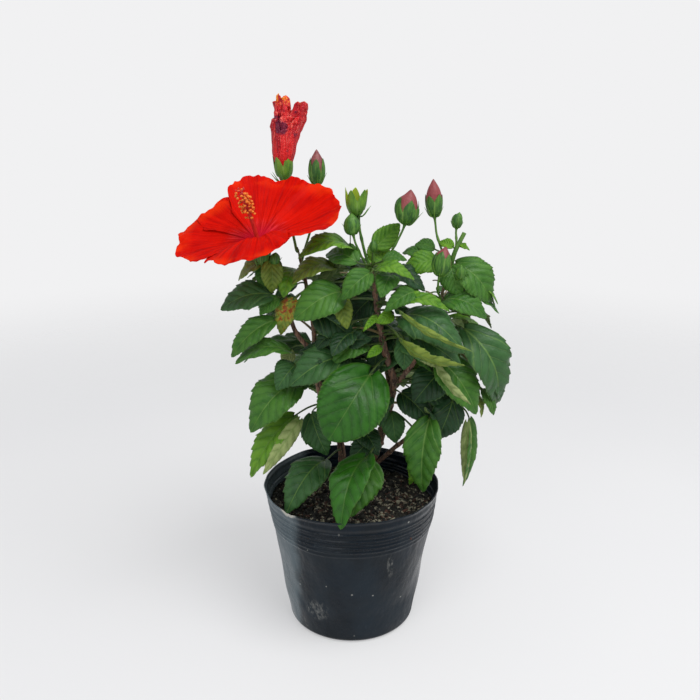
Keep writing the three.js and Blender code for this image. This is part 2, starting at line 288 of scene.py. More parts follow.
def addSheet(pile, points, thick, order=(0, 1, 2, 3), backOrder=(3, 2, 1, 0), backSlot=0, **marks):
    # a closed sheet with its own thickness round a grid of points, with marks for each point of the grid
    rows, wide = points.shape[:2]
    normal = unit(np.cross(np.gradient(points, axis=1), np.gradient(points, axis=0)))
    top, back = points + normal * thick / 2, points - normal * thick / 2
    if order[0]:
        top, back = back, top
    quads, start, layer = gridQuads(rows, wide), pile.count, rows * wide
    pile.add(np.vstack([top.reshape(-1, 3), back.reshape(-1, 3)]), quads[:, order], 0,
             **{name: np.concatenate([value, value]) for name, value in marks.items()})
    pile.addFaces(quads[:, backOrder] + layer, start, backSlot)
    rim = np.concatenate([np.arange(wide), np.arange(2, rows) * wide - 1, layer - 1 - np.arange(wide),
                          np.arange(rows - 2, 0, -1) * wide])
    after = np.roll(rim, -1)
    edge = [rim, after, after + layer, rim + layer] if order[0] else [after, rim, rim + layer, after + layer]
    pile.addFaces(np.stack(edge, -1), start)


def ringAngles(sides):
    return np.arange(sides) / sides * 2 * math.pi


def addTube(pile, path, radii, sides=10, slot=0, relief=None, **marks):
    # a closed tube round a path; relief(t, angle, points) scales its radius
    _, side, over = carriedFrames(path)
    angle = ringAngles(sides)
    t = np.linspace(0, 1, len(path))
    ring = np.cos(angle)[None, :, None] * side[:, None] + np.sin(angle)[None, :, None] * over[:, None]
    wide = np.asarray(radii)[:, None] * np.ones((1, sides))
    if relief is not None:
        rough = (path[:, None] + ring * wide[..., None]).reshape(-1, 3)
        wide = wide * relief(np.repeat(t, sides), np.tile(angle, len(path)), rough).reshape(wide.shape)
    points = (path[:, None] + ring * wide[..., None]).reshape(-1, 3)
    whole = {}
    for name, value in marks.items():
        value = np.asarray(value, float)
        if value.ndim == 1 and len(value) == len(path):
            value = np.concatenate([np.repeat(value, sides), [value[0], value[-1]]])
        whole[name] = value
    start = pile.count
    pile.add(np.vstack([points, path[:1], path[-1:]]), gridQuads(len(path), sides, True), slot, **whole)
    pile.addFaces(fanFaces(sides, 0, len(points)), start, slot)
    pile.addFaces(fanFaces(sides, len(points) - sides, len(points) + 1, True), start, slot)


# shader and geometry node helpers

def rgb(red, green, blue):
    # a colour picked on screen, 0-255, as linear light
    def channel(v):
        v /= 255
        return v / 12.92 if v <= 0.04045 else ((v + 0.055) / 1.055) ** 2.4
    return (channel(red), channel(green), channel(blue), 1)


def addNode(tree, kind, inputs=None, **settings):
    # a node with its settings, its inputs wired or set by name or number
    node = tree.nodes.new(kind)
    for name, value in settings.items():
        setattr(node, name, value)
    for name, value in (inputs or {}).items():
        plug(node.inputs[name], value)
    return node


def plug(socket, value):
    # wires an output into the socket, or sets the socket's own number or colour
    if isinstance(value, bpy.types.NodeSocket):
        socket.id_data.links.new(value, socket)
    elif value is not None:
        socket.default_value = value


def treeOf(*values):
    # the node tree that the wired ones among some values belong to
    return next(value.id_data for value in values if isinstance(value, bpy.types.NodeSocket))


def calc(operation, *values):
    node = addNode(treeOf(*values), "ShaderNodeMath", operation=operation)
    for socket, value in zip(node.inputs, values):
        plug(socket, value)
    return node.outputs[0]


def times(first, second):
    return calc("MULTIPLY", first, second)


def plus(first, second):
    return calc("ADD", first, second)


def minus(first, second):
    return calc("SUBTRACT", first, second)


def remap(value, fromLow, fromHigh, low=0.0, high=1.0):
    return addNode(value.id_data, "ShaderNodeMapRange", {
        "Value": value, "From Min": fromLow, "From Max": fromHigh, "To Min": low, "To Max": high},
        interpolation_type="SMOOTHSTEP").outputs["Result"]


def mixColours(factor, first, second):
    return addNode(factor.id_data, "ShaderNodeMix", {"Factor": factor, "A": first, "B": second},
                   data_type="RGBA").outputs["Result"]


def noiseAt(vector, scale, detail=3.0, roughness=0.55, distortion=0.0):
    return addNode(vector.id_data, "ShaderNodeTexNoise", {
        "Vector": vector, "Scale": scale, "Detail": detail, "Roughness": roughness,
        "Distortion": distortion}).outputs["Fac"]


def objectPlace(tree, scale=(1, 1, 1)):
    here = addNode(tree, "ShaderNodeTexCoord").outputs["Object"]
    return addNode(tree, "ShaderNodeMapping", {"Vector": here, "Scale": scale}).outputs["Vector"]


def vectorOf(tree, x, y, z):
    return addNode(tree, "ShaderNodeCombineXYZ", {0: x, 1: y, 2: z}).outputs[0]


def markOf(tree, name, output="Vector"):
    node = addNode(tree, "ShaderNodeAttribute", attribute_name=name)
    return node.outputs[output]


def splitVector(vector):
    return tuple(addNode(vector.id_data, "ShaderNodeSeparateXYZ", {0: vector}).outputs)


def newGroup(kind, name, inputs, outputs):
    # an empty node group with named sockets; returns it with its input and output nodes
    tree = bpy.data.node_groups.new(name, kind)
    for label, socketKind, value in inputs:
        socket = tree.interface.new_socket(label, in_out="INPUT", socket_type="NodeSocket" + socketKind)
        if value is not None:
            socket.default_value = value
    for label, socketKind in outputs:
        tree.interface.new_socket(label, in_out="OUTPUT", socket_type="NodeSocket" + socketKind)
    return tree, tree.nodes.new("NodeGroupInput").outputs, tree.nodes.new("NodeGroupOutput").inputs


def effectGroup(name, inputs, outputs):
    return newGroup("ShaderNodeTree", name, inputs, outputs)


def geometryTree(name, inputs):
    inputs = [("Geometry", "Geometry", None)] + inputs
    return newGroup("GeometryNodeTree", name, inputs, [("Geometry", "Geometry")])


def place(tree, group, **values):
    # a group node in a material, its inputs given by name with spaces left out
    node = addNode(tree, "ShaderNodeGroup", node_tree=group)
    for socket in node.inputs:
        key = socket.name[0].lower() + socket.name[1:].replace(" ", "")
        if key in values:
            plug(socket, values[key])
    return node.outputs


def mottle(tree, size, contrast=0.6, stretch=(1, 1, 1)):
    here = objectPlace(tree, stretch)
    return place(tree, effects["mottling"], vector=here, size=size, contrast=contrast)["Mask"]


def tint(skin, colour, mask, share):
    # lays a colour over the skin by a share of the mask
    return mixColours(times(mask, share), skin, colour)


def tintWhere(skin, colour, value, start, full, share=1.0):
    # lays a colour over the skin where the value goes from start to full
    return mixColours(remap(value, start, full, 0.0, share), skin, colour)


def newMaterial(name, roughness=0.5, **constants):
    material = bpy.data.materials.new(name)
    material.use_nodes = True
    tree = material.node_tree
    shader = tree.nodes["Principled BSDF"]
    shader.inputs["Roughness"].default_value = roughness
    for key, value in constants.items():
        label = "".join(" " + c if c.isupper() else c for c in key).title()
        label = label.replace("Ior", "IOR")
        shader.inputs[label].default_value = value
    return material, tree


def dress(material, skin, rough, relief, depth, strength=1.0):
    # the colour, roughness and fine relief of a material's own Principled shader
    tree = material.node_tree
    shader = tree.nodes["Principled BSDF"].inputs
    normal = addNode(tree, "ShaderNodeBump", {"Height": relief, "Distance": depth, "Strength": strength})
    plug(shader["Base Color"], skin)
    plug(shader["Roughness"], rough)
    plug(shader["Normal"], normal.outputs["Normal"])
    return material


def buildEffects():
    effects = {}
    # soft uneven patches, for any surface that isn't one even colour
    tree, given, out = effectGroup(
        "mottling", [("Vector", "Vector", None), ("Size", "Float", 0.01), ("Contrast", "Float", 0.5)],
        [("Mask", "Float")])
    scale = calc("DIVIDE", 1.0, given["Size"])
    blur = times(0.5, minus(1.02, given["Contrast"]))
    low = minus(0.5, blur)
    high = minus(1.0, low)
    plug(out["Mask"], remap(noiseAt(given["Vector"], scale, 4.0, 0.6), low, high))
    effects["mottling"] = tree

    # a leaf's veins from its own across-and-along place: midrib, two from the foot, and the laterals
    tree, given, out = effectGroup(
        "leafVeins",
        [("Space", "Vector", None), ("Count", "Float", 6.0), ("Slant", "Float", 0.95),
         ("Thickness", "Float", 0.012)],
        [("Midrib", "Float"), ("Vein", "Float"), ("Relief", "Float")])
    across, along, _ = splitVector(given["Space"])
    wander = noiseAt(given["Space"], 5.0, 2.0)
    wobble = times(minus(wander, 0.5), 0.06)
    aside = calc("ABSOLUTE", across)
    width = times(given["Thickness"], minus(1.25, along))
    midrib = remap(aside, times(width, 1.5), times(width, 0.4))
    bend = times(times(aside, aside), 0.6)
    climb = minus(plus(along, wobble),
                 plus(times(aside, given["Slant"]), bend))
    phase = calc("PINGPONG", times(climb, given["Count"]), 0.5)
    rib = times(width, times(given["Count"], 0.8))
    lateral = remap(phase, rib, 0.0)
    foot = calc("ABSOLUTE", minus(times(aside, 1.12), plus(times(along, 0.78), wobble)))
    basal = times(remap(foot, times(width, 1.4), 0.0),
                 remap(along, 0.62, 0.3))
    inner = remap(minus(times(aside, 1.12), times(along, 0.78)), 0.0, -0.03)
    lateral = times(lateral, inner)
    plug(out["Midrib"], midrib)
    plug(out["Vein"], calc("MAXIMUM", lateral, basal))
    swell = times(calc("SINE", times(phase, math.pi)), 0.8)
    net = addNode(tree, "ShaderNodeTexVoronoi", {"Vector": given["Space"], "Scale": 26},
                  feature="DISTANCE_TO_EDGE")
    cells = remap(net.outputs["Distance"], 0.0, 0.34)
    cut = calc("MAXIMUM", midrib, calc("MAXIMUM", lateral, basal))
    relief = minus(plus(swell, times(cells, 0.2)), times(cut, 0.45))
    plug(out["Relief"], relief)
    effects["leafVeins"] = tree

    # pale dust and rubbed patches that break up a dark moulded or blown surface
    tree, given, out = effectGroup(
        "dustAndScuffs", [("Vector", "Vector", None), ("Amount", "Float", 0.3)],
        [("Dust", "Float"), ("Specks", "Float"), ("Scratches", "Float")])
    broad = noiseAt(given["Vector"], 22.0, 5.0, 0.62)
    dust = times(remap(broad, 0.42, 0.72), given["Amount"])
    dots = addNode(tree, "ShaderNodeTexVoronoi", {"Vector": given["Vector"], "Scale": 95})
    few = remap(noiseAt(given["Vector"], 60.0, 2.0), 0.55, 0.61)
    specks = times(remap(dots.outputs["Distance"], 0.11, 0.05), few)
    stretch = addNode(tree, "ShaderNodeMapping", {
        "Vector": given["Vector"], "Scale": (900, 900, 45), "Rotation": (0.25, 0.12, 0)})
    lines = noiseAt(stretch.outputs["Vector"], 1.0, 3.0, 0.6)
    worn = remap(noiseAt(given["Vector"], 16.0, 3.0), 0.45, 0.7)
    plug(out["Dust"], dust)
    plug(out["Specks"], specks)
    plug(out["Scratches"], times(remap(lines, 0.62, 0.72), worn))
    effects["dustAndScuffs"] = tree
    return effects


effects = buildEffects()
print("shared effects built")


def namedMark(tree, name, kind):
    node = addNode(tree, "GeometryNodeInputNamedAttribute", {"Name": name}, data_type=kind)
    return node.outputs["Attribute"]


def finishTree(tree, out, geometry, material, marked=None, second=None):
    # real meshes in their material, with a second one on the faces that are marked
    real = addNode(tree, "GeometryNodeRealizeInstances", {"Geometry": geometry})
    paint = addNode(tree, "GeometryNodeSetMaterial", {"Geometry": real.outputs[0], "Material": material})
    if marked:
        chosen = namedMark(tree, marked, "BOOLEAN")
        paint = addNode(tree, "GeometryNodeSetMaterial", {
            "Geometry": paint.outputs[0], "Selection": chosen, "Material": second})
    tree.links.new(paint.outputs[0], out["Geometry"])
    return tree


def dealtShapes(tree, collection, resetPlaces):
    # the shapes of a collection, and a number that picks one of them for each spot
    shapes = addNode(tree, "GeometryNodeCollectionInfo", {
        "Collection": collection, "Separate Children": True, "Reset Children": resetPlaces})
    return shapes.outputs[0], addNode(tree, "FunctionNodeRandomValue", {4: 0, 5: 40}, data_type="INT")


def grow(host, tree, values, name):
    # runs a geometry tree on the host and keeps its result as a plain mesh piece
    modifier = host.modifiers.new(name, "NODES")
    modifier.node_group = tree
    for item in tree.interface.items_tree:
        if item.item_type == "SOCKET" and item.in_out == "INPUT" and item.name in values:
            modifier[item.identifier] = values[item.name]
    bpy.context.view_layer.update()
    depsgraph = bpy.context.evaluated_depsgraph_get()
    mesh = bpy.data.meshes.new_from_object(
        host.evaluated_get(depsgraph), preserve_all_data_layers=True, depsgraph=depsgraph)
    bpy.data.objects.remove(host)
    mesh.name = name
    return newObject(name, mesh)


shelves = []


def newShelf(name):
    # a collection of shapes to deal out, emptied again at the end
    shelf = bpy.data.collections.new(name)
    shelves.append(shelf)
    return shelf


def markSecondSlot(piece, name):
    # notes which faces wear the second material
    slots = np.zeros(len(piece.data.polygons), np.int32)
    piece.data.polygons.foreach_get("material_index", slots)
    piece.data.attributes.new(name, "BOOLEAN", "FACE").data.foreach_set("value", slots == 1)


def putAway(shelf, piece):
    bpy.context.scene.collection.objects.unlink(piece)
    shelf.objects.link(piece)


def keepPiece(piece, slot, *nodes):
    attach(piece, "root")
    if nodes:
        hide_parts(*nodes)
    return piece


# bark: one mesh with relief for the stems and every bough

stemLook = {
    "step": 1.1, "sides": 22,
    "stems": ("trunk", "left_stem"),
    "boughs": {"left_bough": "left_stem", "inner_bough": "left_stem", "right_bough": "trunk",
               "low_bough": "trunk", "back_bough": "trunk", "back_left_bough": "left_stem",
               "back_right_bough": "trunk"},
    "scarSpacing": 13, "scarHeight": 0.32,
    "oldWood": rgb(104, 82, 66), "warmWood": rgb(134, 98, 76), "crack": rgb(52, 38, 32),
    "youngWood": rgb(92, 98, 58), "lenticel": rgb(158, 138, 116),
}


def barkMaterial():
    look = stemLook
    material, tree = newMaterial("barkSkin", 0.72)
    around = objectPlace(tree, (1, 1, 0.22))
    streaks = noiseAt(around, 520.0, 5.0, 0.62)
    mottled = mottle(tree, 0.006, 0.75)
    age = markOf(tree, "limbAge", "Fac")
    wood = mixColours(mottled, look["oldWood"], look["warmWood"])
    wood = tintWhere(wood, look["crack"], streaks, 0.55, 0.36)
    pores = addNode(tree, "ShaderNodeTexVoronoi", {"Vector": objectPlace(tree, (1, 1, 0.6)), "Scale": 420})
    wood = tint(wood, look["lenticel"], remap(pores.outputs["Distance"], 0.3, 0.16), 0.6)
    patchy = plus(age, times(minus(mottled, 0.5), 0.35))
    wood = mixColours(remap(patchy, 0.25, 0.75), look["youngWood"], wood)
    rough = remap(streaks, 0.3, 0.7, 0.85, 0.6)
    return dress(material, wood, rough, streaks, 0.0006, 0.9)


limbLines = {}


def buildStems():
    look = stemLook
    pile = Pile()
    parents = dict.fromkeys(look["stems"])
    parents.update(look["boughs"])
    for seed, (node, parent) in enumerate(parents.items()):
        line, radii = centreLine(node, 26)
        if parent:
            stem = limbLines[parent][0]
            nearest = stem[np.argmin(np.linalg.norm(stem - line[0], axis=1))]
            line = np.vstack([nearest, line])
            radii = np.concatenate([[radii[0] * 1.15], radii])
        else:
            line = np.vstack([line[0] - [0, 0, 5 * mm], line])
            radii = np.concatenate([[radii[0] * 1.1], radii])
        sparse = np.unique(np.linspace(0, len(line) - 1, 12).astype(int))
        path, wide = smoothPath(line[sparse], look["step"] * mm, radii[sparse])
        wander = np.stack([grain(path, 16 * mm, 3 * seed + k) for k in range(3)], 1) * 0.5 * mm
        path = path + wander * ease(0, 0.15, np.linspace(0, 1, len(path)))[:, None]
        limbLines[node] = (path, wide)
        length = len(path) * look["step"]

        def relief(t, angle, points, seed=seed, length=length):
            # swollen leaf scars wind up the limb, with fine wrinkles over them
            knots = t * length / look["scarSpacing"]
            near = knots - np.round(knots)
            turned = np.cos(angle - np.round(knots) * 2.4 - seed)
            scar = np.exp(-(near / 0.11) ** 2) * (0.35 + 0.65 * np.clip(turned, 0, 1) ** 2)
            fine = 0.05 * grain(points * [1, 1, 0.35], 0.9 * mm, seed)
            wrinkle = fine + 0.07 * grain(points, 4 * mm, seed + 5)
            scars = look["scarHeight"] * scar * ease(0.02, 0.1, t)
            return 1 + scars + wrinkle + 0.35 * np.exp(-t * length / 2.5)

        height = (path[:, 2] - 0.106) / 0.22
        thick = np.clip((wide / mm - 1.0) / 1.2, 0, 1)
        age = np.clip(0.35 + 0.75 * thick - 0.25 * ease(0.6, 1.1, height), 0, 1)
        addTube(pile, path, wide, look["sides"], 0, relief, limbAge=age)
    piece = pile.build("woody_stems", [barkMaterial()])
    keepPiece(piece, "bark", *parents)


buildStems()
print("stems and boughs grown:", len(limbLines))


# leaves: every mass of the frame becomes its own spray

leafLook = {
    "teeth": 9, "toothDepth": 0.021, "thickness": 0.34, "columns": 6,
    "quilt": 0.02, "veinCount": 5.4, "veinSlant": 1.05, "roughTop": 0.36, "roughUnder": 0.62,
    # dark and light of the upper side for each tone
    "tones": {
        "shade": (rgb(13, 38, 19), rgb(34, 68, 36)),
        "dark": (rgb(30, 68, 32), rgb(58, 98, 50)),
        "deep": (rgb(16, 62, 6), rgb(42, 96, 16)),
        "mid": (rgb(34, 84, 22), rgb(68, 114, 36)),
        "bright": (rgb(50, 104, 14), rgb(98, 142, 36)),
        "olive": (rgb(76, 100, 28), rgb(118, 136, 52)),
        "young": (rgb(60, 112, 14), rgb(104, 150, 30)),
        "pale": (rgb(106, 124, 66), rgb(150, 164, 104)),
    },
    "veinShares": {"deep": (0.2, 0.24), "pale": (0.3, 0.3), "shade": (0.4, 0.45)},
    "vein": rgb(112, 146, 70), "underside": (rgb(92, 120, 62), rgb(128, 148, 88)),
    "underVein": rgb(158, 174, 112), "spot": rgb(140, 38, 20), "fleck": rgb(160, 140, 40),
}


def leaf(at, bearing, pitch, length, width, tilt=45, turn=0, tone="mid", lying=False, **shape):
    return dict(at=at, bearing=bearing, pitch=pitch, length=length, width=width, tilt=tilt, turn=turn,
                tone=tone, lying=lying, shape=shape)


# the leaves that give each spray its outline: `at` is the blade's middle from the middle of the mass
sprayHabit = {
    "left_top": ("left_bough", [
        leaf((-4, -2, 4), -166, -9, 43, 29, 56, 10, "dark", arch=0.15, fold=14),
        leaf((14, -4, 0), -150, -34, 20, 15, 50, 0, "mid")]),
    "under_bloom": ("left_bough", [
        leaf((-8, -3, 6), 170, -30, 28, 20, 60, -30, "olive"),
        leaf((10, -12, 3), -80, -74, 26, 19, 20, 15, "olive", fold=25),
        leaf((4, -4, 2), -120, -55, 24, 17, 35, -20, "mid", fold=22)]),
    "left_upper": ("left_bough", [
        leaf((-5, -6, 2.5), -160, -34, 45, 22, 42, -10, "mid", arch=0.15, fold=22)]),
    "left_middle": ("left_stem", [
        leaf((-8, -4, 0), -162, -1, 45, 25, 72, -5, "mid", arch=0.18, fold=18),
        leaf((10, 20, -10), -159, -65, 15, 12, 20, 10, "pale")]),
    "left_lower": ("left_stem", [
        leaf((5, -6, 25), -130, -34, 26, 24, 36, 10, "dark", arch=0.2),
        leaf((-6, -2, -1), -144, -32, 58, 38, 42, -12, "mid", arch=0.2, fold=20, wave=0.03)]),
    "left_low": ("left_stem", [
        leaf((-9, -3, -7), -143, -42, 63, 27, 30, -28, "bright", arch=0.12, fold=34),
        leaf((0.5, -13, -3.5), -135, -42, 55, 13, 26, 10, "pale", True, arch=0.08, fold=-10, saw=0.5)]),
    "inner_low": ("left_stem", [
        leaf((-6, -3, 1), -50, -58, 38, 26, 22, -15, "dark", arch=0.12)]),
    "over_soil_left": ("left_stem", [
        leaf((-5, -13, -5), -124, -22, 60, 32, 60, -8, "dark", arch=0.16, fold=14)]),
    "over_soil_front": ("trunk", [
        leaf((-4, -23, 5), -112, -27, 67, 34, 44, -34, "deep", arch=0.14, fold=22, saw=0.7, blunt=0.35,
             quilt=0.012),
        leaf((4, -5, -1), -107, -26, 55, 28, 50, 24, "mid", arch=0.14)]),
    "front": ("trunk", [
        leaf((-2, -18, 3), -132, -40, 62, 56, 34, 6, "deep", arch=0.14, fold=8, blunt=0.62, teeth=15,
             saw=0.6, wave=0.012, quilt=0.008)]),
    "low_centre": ("trunk", [
        leaf((0, -4, -3), -134, -16, 32, 24, 48, 0, "shade"),
        leaf((6, -2, 2), -60, -22, 28, 20, 60, 0, "shade")]),
    "centre_left": ("left_stem", [
        leaf((12, -1, -1), -150, -12, 52, 34, 52, 6, "dark", arch=0.18, fold=16),
        leaf((10, 6, 10), 170, 10, 30, 22, 50, 0, "shade")]),
    "centre": ("trunk", [
        leaf((-10, 0, 3), -22, -31, 37, 28, 38, -12, "shade", arch=0.16),
        leaf((-10, -5, 13), -143, 30, 31, 20, 40, 0, "shade"),
        leaf((2, -6, -19), -142, -11, 35, 22, 60, 10, "mid", arch=0.18),
        leaf((30, -14, 12), -148, -16, 16, 11, 30, 30, "young", twist=30),
        leaf((19, -15, 8), -140, -29, 18, 6, 40, 0, "young", fold=30),
        leaf((22, -11, -17), -146, -24, 15, 8, 40, 20, "young", fold=24),
        leaf((24, 24, -7), -160, -30, 24, 20, 40, 0, "shade"),
        leaf((8, -4, -10), -30, 20, 26, 18, 35, 20, "shade")]),
    "upper_left": ("trunk", [
        leaf((-13, -5, -2), -149, -19, 44, 33, 34, -6, "mid", arch=0.18, fold=8),
        leaf((-39, 5, -15), -149, -62, 31, 18, 28, -20, "spotted", fold=18),
        leaf((17, -9, 14), -146, -31, 31, 21, 42, 8, "mid", arch=0.16, fold=22),
        leaf((23, 28, -13), -162, -40, 30, 24, 40, 0, "shade"),
        leaf((6, 0, -10), -60, -50, 28, 18, 30, 10, "olive", fold=20)]),
    "top_left": ("trunk", [
        leaf((-8, -3, 7), -156, 2, 44, 27, 72, -4, "bright", arch=0.2, fold=16),
        leaf((-19, 5, -13), -157, -10, 38, 24, 66, 0, "olive", arch=0.2),
        leaf((4, 8, 0), 140, 8, 34, 22, 55, -30, "mid")]),
    "top": ("trunk", [
        leaf((2, 0, 7), 11, 42, 27, 19, 26, 10, "bright", arch=-0.1, fold=20),
        leaf((-6, 6, -8), 120, 38, 26, 18, 40, 0, "young", arch=0.1)]),
    "top_front": ("trunk", [
        leaf((2, -9, 6), -30, -2, 32, 13, 56, 0, "bright", arch=0.2, fold=14),
        leaf((3, 4, 14), 6, 4, 19, 11, 52, 0, "mid", arch=0.2),
        leaf((-4, -6, -4), -110, -20, 30, 20, 56, 0, "mid")]),
    "heart": ("trunk", []),
    "right_top": ("right_bough", [
        leaf((-5, -5, -3), -170, -10, 28, 23, 40, -10, "bright", arch=0.2),
        leaf((-1, 5, 11), 172, 14, 16, 14, 50, 0, "mid"),
        leaf((-10, 3, 6), 160, 4, 19, 15, 60, 0, "mid")]),
    "right_crown": ("right_bough", [
        leaf((3, 0, 6), -15, -42, 44, 32, 38, 14, "mid", arch=0.2, fold=16, teeth=13),
        leaf((-14, -8, 9), -62, -60, 24, 24, 18, -10, "mid", arch=0.1)]),
    "shoot": ("right_bough", [
        leaf((-13, 0, 1), 150, 18, 13, 9, 40, 0, "young"),
        leaf((1, 2, -2), -5, -14, 12, 7, 60, 20, "young"),
        leaf((0, -3, 0), -80, -10, 9, 6, 50, 0, "young")]),
    "right_shoulder": ("right_bough", [
        leaf((0, -2, 4), -21, -14, 36, 26, 46, 14, "mid", arch=0.2, fold=16)]),
    "right_upper": ("trunk", [
        leaf((-10, -9, 3), -155, -20, 31, 17, 40, -6, "mid", arch=0.18, fold=16),
        leaf((9, -12, 0), -22, 1, 37, 14, 58, 0, "bright", arch=0.2, fold=20)]),
    "right_front": ("trunk", [
        leaf((4, -9, 14), -35, -15, 58, 34, 46, 14, "dark", arch=0.2, fold=10, curl=0.2),
        leaf((3, -1, -4), -31, -13, 54, 36, 40, 10, "dark", arch=0.18),
        leaf((1, -27, 0), -31, -16, 54, 10, -22, 30, "olive", arch=0.14, fold=-26),
        leaf((4, -27, 17), -30, -22, 61, 5, -16, 20, "olive", arch=0.12, fold=-30, saw=0.3)]),
    "right_outer": ("right_bough", [
        leaf((6, 1, -9), -10, -61, 74, 37, 30, 22, "dark", arch=0.22, fold=16),
        leaf((15, 2, -24), 7, -62, 38, 18, 26, 34, "dark", arch=0.16, fold=26)]),
    "right_middle": ("right_bough", [
        leaf((2, -4, -2), -34, -45, 53, 32, 26, 20, "mid", arch=0.16, fold=12),
        leaf((29, 6, -20), -20, -60, 24, 12, 20, 30, "mid"),
        leaf((21, 6, -23), -40, -66, 20, 8, 10, 50, "olive"),
        leaf((-6, -19, 6), -40, -44, 45, 9, -18, -30, "pale", arch=0.12, fold=-24, saw=0.3)]),
    "right_inner": ("trunk", [
        leaf((0, -7, 26), -141, -34, 36, 32, 34, 0, "shade", arch=0.14),
        leaf((-21, -22, 57), -91, -64, 23, 17, 24, 0, "dark", arch=0.1, fold=20),
        leaf((-9, -3, 6), -36, -31, 34, 26, 40, 0, "shade"),
        leaf((15, -11, -3), -138, -61, 34, 29, 18, 4, "shade", arch=0.1, wave=0.04),
        leaf((-4, -13, 55), -16, -44, 30, 13, 30, -20, "pale", arch=0.1, fold=-16),
        leaf((14, 2, 14), -10, -30, 40, 30, 38, 20, "shade")]),
    "low_right": ("low_bough", [
        leaf((-25, 20, 22), -72, -64, 26, 19, 18, 0, "dark"),
        leaf((0, -4, 7), -112, -71, 62, 32, 8, -24, "mid", arch=0.14, fold=26),
        leaf((-7, 5, -3), -120, -68, 40, 16, 20, 20, "bright", fold=16)]),
    "right_hanging": ("low_bough", [
        leaf((2, 3, -6), -116, -86, 62, 18, 0, 52, "mid", arch=0.05, fold=34, saw=0.5, wave=0.006),
        leaf((0, -1.5, -4), -92, -88, 57, 9, 4, -10, "pale", True, arch=0.03, fold=-16, saw=0.3)]),
}

# masses that only the other sides of the plant show: how many leaves and their tones
fillHabit = {
    "left_back": ("inner_bough", 8, ("mid", "olive", "dark")),
    "heart": ("trunk", 9, ("shade", "mid", "shade")),
    "right_back": ("right_bough", 8, ("mid", "bright", "dark")),
    "back_top": ("back_bough", 10, ("bright", "mid", "young")),
    "back_left": ("back_left_bough", 9, ("mid", "bright", "dark")),
    "back_right": ("back_right_bough", 9, ("mid", "dark", "bright")),
    "back_middle": ("back_bough", 9, ("dark", "mid", "bright")),
    "back_low_left": ("back_left_bough", 7, ("dark", "mid", "mid")),
    "back_low_right": ("back_bough", 7, ("mid", "dark", "bright")),
    "right_inner": ("trunk", 2, ("shade", "shade", "shade")),
    "centre": ("trunk", 2, ("shade", "shade", "shade")),
    "right_outer": ("right_bough", 1, ("dark", "mid", "dark")),
}


def leafMaterial(name, tone, spotted=False):
    look = leafLook
    material, tree = newMaterial(name, look["roughTop"], specularIorLevel=0.26)
    space = markOf(tree, "leafSpace")
    veins = place(tree, effects["leafVeins"], space=space, count=look["veinCount"], slant=look["veinSlant"])
    mottled = mottle(tree, 0.011)
    fine = noiseAt(objectPlace(tree), 900.0, 2.0)
    dark, light = look["tones"][tone]
    skin = mixColours(mottled, dark, light)
    skin = tint(skin, light, fine, 0.25)
    own = markOf(tree, "leafTone", "Fac")
    skin = mixColours(remap(own, 0.0, 0.5, 0.45, 0.0), skin, dark)
    skin = tintWhere(skin, light, own, 0.5, 1.0, 0.45)
    if spotted:
        blots = noiseAt(objectPlace(tree), 180.0, 4.0, 0.65)
        skin = tintWhere(skin, look["fleck"], blots, 0.46, 0.53)
        skin = tintWhere(skin, look["spot"], blots, 0.52, 0.58)
    _, along, edge = splitVector(space)
    outward = plus(calc("ABSOLUTE", edge), times(along, 0.45))
    outer = remap(outward, 0.55, 1.35)
    skin = tint(skin, light, outer, 0.55)
    rim = remap(calc("ABSOLUTE", edge), 0.93, 1.0)
    skin = tint(skin, look["vein"], rim, 0.35)
    # painted highlight on the swells of the quilted blade and painted shade in its pits beside the veins
    skin = tintWhere(skin, light, veins["Relief"], 0.55, 1.0, 0.45)
    skin = tintWhere(skin, dark, veins["Relief"], 0.5, 0.1, 0.5)
    veinShare, ribShare = look["veinShares"].get(tone, (0.42, 0.52))
    skin = tint(skin, look["vein"], veins["Vein"], veinShare)
    skin = tint(skin, look["vein"], veins["Midrib"], ribShare)
    rough = remap(mottled, 0.0, 1.0, look["roughTop"] - 0.06, look["roughTop"] + 0.12)
    return dress(material, skin, rough, veins["Relief"], 0.0007, 0.6)


def undersideMaterial():
    look = leafLook
    material, tree = newMaterial("leafUnderside", look["roughUnder"], specularIorLevel=0.3)
    space = markOf(tree, "leafSpace")
    veins = place(tree, effects["leafVeins"], space=space, count=look["veinCount"], slant=look["veinSlant"],
                  thickness=0.016)
    mottled = mottle(tree, 0.008)
    skin = mixColours(mottled, *look["underside"])
    skin = tint(skin, look["underVein"], veins["Vein"], 0.5)
    skin = tint(skin, look["underVein"], veins["Midrib"], 0.8)
    rough = remap(mottled, 0.0, 1.0, 0.56, 0.7)
    return dress(material, skin, rough, minus(1.0, veins["Relief"]), 0.0006, 0.8)


def leafRows(teeth):
    # places along a blade and how far each tooth stands out there
    along = [0.0, 0.015, 0.04, 0.075, 0.115]
    proud = [0.0] * 5
    for k in range(teeth):
        for phase, out in ((0.0, 0.0), (0.5, 0.55), (0.86, 1.0)):
            along.append(0.15 + 0.83 * (k + phase) / teeth)
            proud.append(out)
    return np.array(along + [0.985, 1.0]), np.array(proud + [0.0, 0.0])


